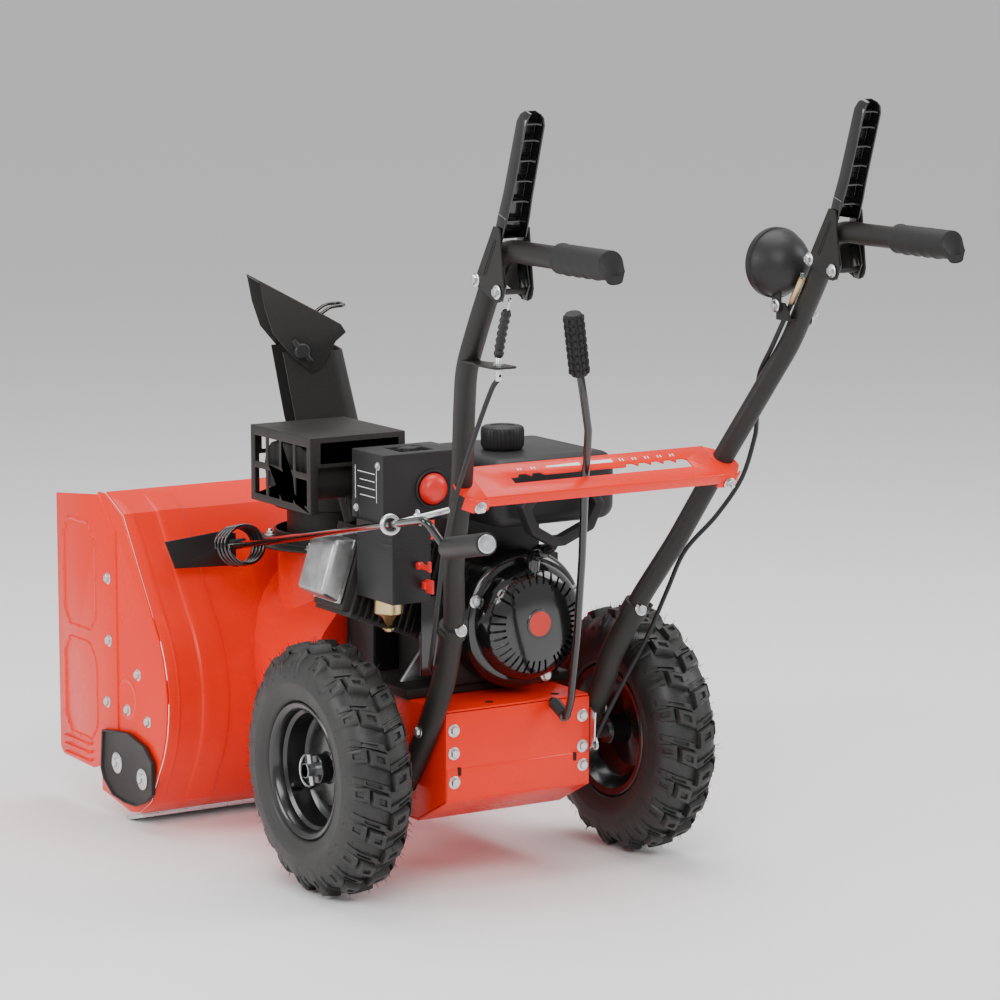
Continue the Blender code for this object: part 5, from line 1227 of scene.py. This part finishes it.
for row in range(8):
    for k in range(10):
        angle = math.tau * k / 10
        out = math.cos(angle) * knob_side + math.sin(angle) * knob_up
        nubs.append((knob_low + knob_way * (0.0052 + 0.00985 * row) + out * 0.0106,
                     Matrix((knob_way.cross(out), knob_way, out)).transposed().to_euler()))
placed("shift_lever_studs", nub_shape, nubs, RUBBER, "gear_lever", "black_paint")

# Belt cover: a moulded black box over both belts, screwed to the engine's back wall.

fitted(eased("belt_cover", 0.004, 4), PLASTIC, "chassis", "black_plastic", "belt_cover", smooth=30)

# Engine block: black-painted casting with a finned cylinder lying to the left, a cast
# foot with a triangular web, and an oil filler cap.

crank_at = Vector((0.035, 0, 0.340))
head_way, head_up = Vector((-0.9511, 0, 0.3090)), Vector((0.3090, 0, 0.9511))
fitted(eased("crankcase", 0.0022, 3), BLACK, "chassis", "engine_casting", "crankcase", smooth=30)
fins = bmesh.new()
for k in range(13):
    far = 0.098 + 0.0105 * k
    wide = 0.068 - 0.0006 * k
    near, away = far - 0.0011, far + 0.0011
    outline = []
    for along, up in ((near, wide), (away, wide), (away, -wide * 0.92), (near, -wide * 0.92)):
        at = crank_at + head_way * along + head_up * up
        outline.append((at.x, at.z))
    slab(fins, outline, "Y", 0.008, 0.100)
fitted(rounded(obj_of(fins, "cylinder_fins"), 0.0005), BLACK, "chassis", "engine_casting")
CAST = Finish("cast_aluminium", Metallic=1.0)
skin = CAST.ramp(CAST.noise(38, 5, 0.6), 0.35, 0.65, (0.36, 0.36, 0.37), (0.52, 0.52, 0.53))
CAST = CAST.paint(Base_Color=skin, Roughness=CAST.ramp(CAST.noise(90, 4, 0.6), 0.3, 0.7, 0.34, 0.52),
                  Normal=CAST.bump(CAST.noise(1400, 3, 0.6), 0.00014))
foot = bmesh.new()
slab(foot, [(-0.0525, 0.228), (-0.0525, 0.300), (-0.058, 0.300), (-0.104, 0.240), (-0.104, 0.228)], "Y",
     0.052, 0.058)
slab(foot, [(-0.108, 0.2275), (-0.108, 0.2325), (-0.052, 0.2325), (-0.052, 0.2275)], "Y", 0.010, 0.100)
fitted(rounded(obj_of(foot, "engine_foot"), 0.0012), CAST, "chassis", "engine_casting")
placed("engine_foot_nuts", NUT, [(spot(-0.090, y, 0.2325), (0, 0, 1)) for y in (0.024, 0.086)], ZINC,
       "chassis",
       "zinc_steel")
fitted(eased("valve_cover", 0.006, 4), CAST, "chassis", "cast_aluminium", "valve_cover", smooth=30)
rim = bmesh.new()
lip = []
for along, up in ((0.2358, 0.0425), (0.2405, 0.0425), (0.2405, -0.0425), (0.2358, -0.0425)):
    at = crank_at + head_way * along + head_up * up
    lip.append((at.x, at.z))
slab(rim, lip, "Y", 0.0205, 0.0875)
fitted(rounded(obj_of(rim, "valve_cover_flange"), 0.001), CAST, "chassis", "cast_aluminium")
placed("valve_cover_bolts", BOLT,
       [(spot(*crank_at) + head_way * 0.2405 + head_up * up + Vector((0, y, 0)), tuple(head_way))
        for up in (-0.034, 0.034) for y in (0.027, 0.081)], ZINC, "chassis", "zinc_steel")

# Recoil starter: a glossy black pressed shroud with a vented dome on it, rope guide at
# the top and a round badge in the middle.

shroud = bmesh.new()
spun(shroud, [(0.092, 0.0003), (0.092, 0.0365), (0.0908, 0.0425), (0.0875, 0.0475), (0.0820, 0.050),
              (0.060, 0.050),
              (0.060, 0.048), (0.0815, 0.048), (0.0860, 0.0460), (0.0890, 0.0415), (0.090, 0.0360),
              (0.090, 0.0003)],
     spot(*crank_at), (0, -1, 0), 96)
fitted(obj_of(shroud, "blower_housing_pressing"), GLOSS, "chassis", "gloss_black", "blower_housing",
       smooth=35)
side_cover = bmesh.new()
block(side_cover, (-0.098, -0.006, 0.270), (-0.045, -0.0003, 0.376))
fitted(rounded(obj_of(side_cover, "blower_side_cover"), 0.0018), GLOSS, "chassis", "gloss_black")
dome = bmesh.new()
spun(dome, [(0.078, 0.0503), (0.078, 0.0570), (0.0765, 0.0630), (0.0725, 0.0700), (0.066, 0.0765),
            (0.056, 0.0800),
            (0.040, 0.0825), (0.020, 0.0838), (0.0, 0.0838), (0.0, 0.0815), (0.020, 0.0813), (0.040, 0.0800),
            (0.055, 0.0776), (0.0645, 0.0744), (0.0705, 0.0688), (0.0742, 0.0625), (0.0757, 0.0565),
            (0.0757, 0.0503)],
     spot(*crank_at), (0, -1, 0), 120)
dome_obj = obj_of(dome, "recoil_cover_dome")
vents = bmesh.new()
for first, last, count, near, far in ((38, 146, 11, 0.052, 0.067), (-62, 20, 12, 0.050, 0.068),
                                      (166, 282, 13, 0.050, 0.068)):
    for k in range(count):
        angle = math.radians(first + (last - first) * k / (count - 1))
        lean = angle + math.radians(14)
        ring = []
        for reach, wide in ((near, -0.0016), (far, -0.0016), (far, 0.0016), (near, 0.0016)):
            ring.append((crank_at.x + reach * math.cos(angle) + wide * -math.sin(lean),
                         crank_at.z + reach * math.sin(angle) + wide * math.cos(lean)))
        slab(vents, ring, "Y", -0.100, -0.060)
carved(dome_obj, obj_of(vents, "vents"))
fitted(dome_obj, GLOSS, "chassis", "gloss_black", "recoil_cover", smooth=35)
guide = bmesh.new()
bar(guide, curve_through([spot(0.035, -0.066, 0.398), spot(0.035, -0.0685, 0.424), spot(0.035, -0.080, 0.434),
                          spot(0.035, -0.0965, 0.4380)], 8), 0.0092, 28)
fitted(obj_of(guide, "recoil_rope_guide"), GLOSS, "chassis", "gloss_black", smooth=50)
placed("recoil_bolts", BOLT, [(spot(0.035 + 0.0835 * math.cos(t), -0.0500, 0.340 + 0.0835 * math.sin(t)),
                               (0, -1, 0))
                              for t in (math.radians(a) for a in (22, 158, 292))], ZINC, "chassis",
       "zinc_steel")
BADGE = moulded("badge_red", (0.55, 0.02, 0.012), 0.3, 500)
for name, radius, high, finish in (("rim", 0.0195, 0.0850, GLOSS), ("disc", 0.0165, 0.0853, BADGE)):
    badge = bmesh.new()
    spun(badge, [(0, 0.0830), (radius, 0.0830), (radius, high - 0.0004), (radius - 0.0005, high), (0, high)],
         spot(*crank_at), (0, -1, 0), 64)
    fitted(obj_of(badge, f"recoil_badge_{name}"), finish, "chassis", "gloss_black")

# Fuel tank: blow-moulded black plastic with big soft corners, resting on the engine,
# and a ribbed screw cap.

tank = bmesh.new()
x0, y0, x1, y1, z0, z1 = -0.038, -0.095, 0.150, 0.105, 0.470, 0.560
block(tank, (x0, y0, z0), (x1, y1, z1))
fitted(rounded(obj_of(tank, "fuel_tank_shell"), 0.020, 7), PLASTIC, "chassis", "black_plastic", "fuel_tank",
       smooth=40)
seam = bmesh.new()
loop = [(x0 + 0.020, y0 + 0.0005), (x1 - 0.020, y0 + 0.0005), (x1 - 0.0062, y0 + 0.0062),
        (x1 - 0.0005, y0 + 0.020),
        (x1 - 0.0005, y1 - 0.020), (x1 - 0.0062, y1 - 0.0062), (x1 - 0.020, y1 - 0.0005),
        (x0 + 0.020, y1 - 0.0005),
        (x0 + 0.0062, y1 - 0.0062), (x0 + 0.0005, y1 - 0.020), (x0 + 0.0005, y0 + 0.020),
        (x0 + 0.0062, y0 + 0.0062)]
bar(seam, [spot(x, y, 0.512) for x, y in loop], 0.0011, 8, closed=True)
block(seam, (-0.02, 0.02, 0.4155), (0.10, 0.09, 0.475))
fitted(obj_of(seam, "fuel_tank_seam"), PLASTIC, "chassis", "black_plastic")
cap = bmesh.new()
rings = []
for radius, z in ((0.0245, 0.0003), (0.0262, 0.0015), (0.0275, 0.006), (0.0280, 0.024), (0.0268, 0.0288),
                  (0.0245, 0.0308), (0.0170, 0.0310), (0.0160, 0.0298), (0.0, 0.0298)):
    ring = []
    for k in range(216):
        angle = math.tau * k / 216
        rib = 0.0010 * max(0.0, math.sin(36 * angle)) ** 0.5 if 0.004 < z < 0.029 and radius > 0.026 else 0.0
        r = max(radius, 0.0005) + rib
        ring.append(spot(0.030 + r * math.cos(angle), r * math.sin(angle), 0.560 + z))
    rings.append(ring)
strip(cap, rings)
fitted(obj_of(cap, "fuel_cap_ribbed"), PLASTIC, "tank_cap", "black_plastic", "fuel_cap", smooth=40)

# Pull grip of the starter: a D-shaped plastic loop with finger ribs inside its top bar.

fitted(eased("starter_grip", 0.0035, 4), PLASTIC, "pull_grip", "black_plastic", "starter_grip", smooth=40)
ribs = bmesh.new()
for k in range(8):
    x = 0.014 + 0.0082 * k
    block(ribs, (x - 0.0011, -0.1265, 0.5095), (x + 0.0011, -0.1115, 0.5150))
fitted(rounded(obj_of(ribs, "starter_grip_ribs"), 0.0006), PLASTIC, "pull_grip", "black_plastic")

# Carburettor under its heater box, with primer, choke, safety key and throttle.

fitted(eased("heater_box", 0.0016, 3), PLASTIC, "chassis", "black_plastic", "heater_box", smooth=30)
trim = bmesh.new()
for z in (0.452, 0.460, 0.468):
    block(trim, (-0.1853, -0.0823, z), (-0.1276, -0.040, z + 0.0022))
spun(trim, [(0.0214, 0), (0.0250, 0), (0.0250, 0.0016), (0.0240, 0.0024), (0.0222, 0.0024), (0.0214, 0.0016)],
     spot(-0.107, -0.050, 0.525), (0, -1, 0), 64)
fitted(obj_of(trim, "heater_box_trim"), PLASTIC, "chassis", "black_plastic")
placed("heater_box_screws", SCREW, [(spot(-0.1800, y, z), (-1, 0, 0)) for y,
                                    z in ((-0.038, 0.558), (0.018, 0.498))],
       ZINC, "chassis", "zinc_steel")
marks = bmesh.new()
for row in range(4):
    block(marks, (-0.18025, -0.030, 0.546 - 0.010 * row),
          (-0.17995, 0.014 - 0.006 * (row % 2), 0.5468 - 0.010 * row))
for corner in ((-0.034, 0.506), (0.020, 0.506)):
    block(marks, (-0.18025, corner[0] - 0.0004, 0.510), (-0.17995, corner[0] + 0.0004, 0.553))
fitted(obj_of(marks, "heater_box_lines"), WHITE, "chassis", "black_plastic")
YELLOW = Finish("yellow_zinc", Metallic=1.0)
tint = YELLOW.ramp(YELLOW.noise(60, 4, 0.6), 0.35, 0.65, (0.62, 0.47, 0.20), (0.72, 0.60, 0.36))
YELLOW = YELLOW.paint(Base_Color=tint, Roughness=YELLOW.ramp(YELLOW.noise(120, 3, 0.5), 0.3, 0.7, 0.28, 0.42))
fitted(eased("carburettor", 0.0014, 3), YELLOW, "chassis", "yellow_zinc", "carburettor", smooth=30)
placed("carburettor_drain", BOLT, [(spot(-0.157, -0.024, 0.3445), (0, 0, -1))], YELLOW, "chassis",
       "yellow_zinc")
fitted(eased("choke_knob", 0.0012, 3), PLASTIC, "choke", "black_plastic", "choke_knob", smooth=30)
RED_PLASTIC = moulded("red_plastic", (0.62, 0.012, 0.010), 0.32, 700)
bulb = bmesh.new()
spun(bulb, [(0, 0.0003), (0.0190, 0.0003), (0.0203, 0.0018), (0.0203, 0.0036), (0.0190, 0.0058),
            (0.0178, 0.0088),
            (0.0155, 0.0118), (0.0120, 0.0140), (0.0070, 0.0153), (0, 0.0157)], spot(-0.107, -0.050, 0.525),
     (0, -1, 0), 72)
fitted(obj_of(bulb, "primer_bulb_dome"), RED_PLASTIC, "primer", "red_plastic", "primer_bulb", smooth=60)
fitted(eased("ignition_key", 0.0010, 3), RED_PLASTIC, "safety_key", "red_plastic", "ignition_key", smooth=30)
fitted(eased("throttle_lever", 0.0008, 3), RED_PLASTIC, "throttle", "red_plastic", "throttle_lever",
       smooth=30)

# Silencer inside a guard of flat black bars under a heat plate, all in stove paint.

fitted(eased("muffler", 0.0035, 4), BLACK, "chassis", "black_paint", "muffler", smooth=30)
fitted(eased("muffler_guard", 0.0007, 2), BLACK, "chassis", "black_paint", "muffler_guard", smooth=30)

# Work light: a black plastic shell with a chromed bowl and a clear ribbed lens facing
# forward, on a tab of the right handlebar.

shell = bmesh.new()
lamp = spot(0.222, -0.358, 0.822)
spun(shell, [(0, -0.0260), (0.010, -0.0255), (0.018, -0.0230), (0.026, -0.0175), (0.033, -0.0090),
             (0.0385, 0.0010),
             (0.0420, 0.0100), (0.0425, 0.0150), (0.0445, 0.0160), (0.0445, 0.0235), (0.0437, 0.0240),
             (0.0400, 0.0240),
             (0.0400, 0.0200), (0, 0.0200)], lamp, (0, 1, 0), 96)
block(shell, (0.2108, -0.362, 0.764), (0.2142, -0.346, 0.792))
fitted(obj_of(shell, "headlight_shell"), PLASTIC, "work_light", "black_plastic", "headlight", smooth=40)
MIRROR = Finish("lamp_reflector", Metallic=1.0, Roughness=0.12, Base_Color=(0.80, 0.80, 0.82, 1)).paint()
glass = bmesh.new()
spun(glass, [(0, 0.0201), (0.0398, 0.0201), (0.0398, 0.0212), (0.0300, 0.0226), (0.0150, 0.0234),
             (0, 0.0236)],
     lamp, (0, 1, 0), 72)
fitted(obj_of(glass, "headlight_lens"), MIRROR, "work_light", "black_plastic")
placed("headlight_hinge_bolt", BOLT, [(spot(0.2105, -0.354, 0.7700), (-1, 0, 0))], ZINC, "work_light",
       "zinc_steel")

# Clutch cables: black sheaths from the levers down to the belt idlers, one through a
# rubber bellows and an adjuster on the left tab, one with a turnbuckle on the right.

sheath = bmesh.new()
auger_run = [(-0.241, -0.4270, 0.726), (-0.241, -0.4270, 0.716), (-0.2405, -0.4123, 0.7034),
             (-0.239, -0.384, 0.664),
             (-0.231, -0.345, 0.618), (-0.219, -0.302, 0.572), (-0.211, -0.270, 0.530),
             (-0.199, -0.232, 0.480),
             (-0.184, -0.196, 0.425), (-0.170, -0.162, 0.370), (-0.155, -0.128, 0.325),
             (-0.132, -0.088, 0.300),
             (-0.106, -0.068, 0.270), (-0.094, -0.062, 0.2435)]
bar(sheath, curve_through([spot(*p) for p in auger_run], 8), 0.0031, 16)
folds = []
for k in range(57):
    t = k / 56
    centre = spot(-0.241, -0.4270 - 0.0180 * t ** 1.3, 0.742 + 0.055 * t)
    swell = 0.0050 + 0.0013 * (0.5 - 0.5 * math.cos(math.tau * 7 * t))
    folds.append((centre, swell))
bar(sheath, [c for c, r in folds], [r for c, r in folds], 24)
fitted(obj_of(sheath, "auger_cable_sheath"), PLASTIC, "chassis", "black_plastic", "auger_cable", smooth=50)
fixings = bmesh.new()
bar(fixings, [spot(-0.241, -0.4270, 0.714), spot(-0.241, -0.4270, 0.743)], 0.0040, 20)
bar(fixings, [spot(-0.241, -0.4445, 0.793), spot(-0.241, -0.4520, 0.8105)], 0.0012, 10)
for z in (0.7265, 0.7316):
    spun(fixings, [(0, 0), (0.0062, 0), (0.0062, 0.0024), (0, 0.0024)], spot(-0.241, -0.4270, z), (0, 0, 1),
         6)
fitted(obj_of(fixings, "auger_cable_adjuster"), ZINC, "chassis", "zinc_steel", smooth=40)
sheath = bmesh.new()
drive_run = [(0.2228, -0.3905, 0.8035), (0.2228, -0.371, 0.774), (0.2205, -0.334, 0.716),
             (0.2240, -0.304, 0.680),
             (0.2400, -0.276, 0.644), (0.2540, -0.256, 0.608), (0.2577, -0.246, 0.585),
             (0.2500, -0.230, 0.533),
             (0.2260, -0.209, 0.484), (0.1970, -0.180, 0.436), (0.1900, -0.150, 0.380),
             (0.1830, -0.118, 0.318),
             (0.1600, -0.102, 0.262), (0.1350, -0.096, 0.215), (0.1170, -0.091, 0.178)]
bar(sheath, curve_through([spot(*p) for p in drive_run], 8), 0.0031, 16)
fitted(obj_of(sheath, "drive_cable_sheath"), PLASTIC, "chassis", "black_plastic", "drive_cable", smooth=50)
sleeve = bmesh.new()
bar(sleeve, [spot(0.2228, -0.3920, 0.8060), spot(0.2228, -0.371, 0.774)], 0.0044, 6)
fitted(obj_of(sleeve, "drive_cable_turnbuckle"), YELLOW, "chassis", "yellow_zinc")
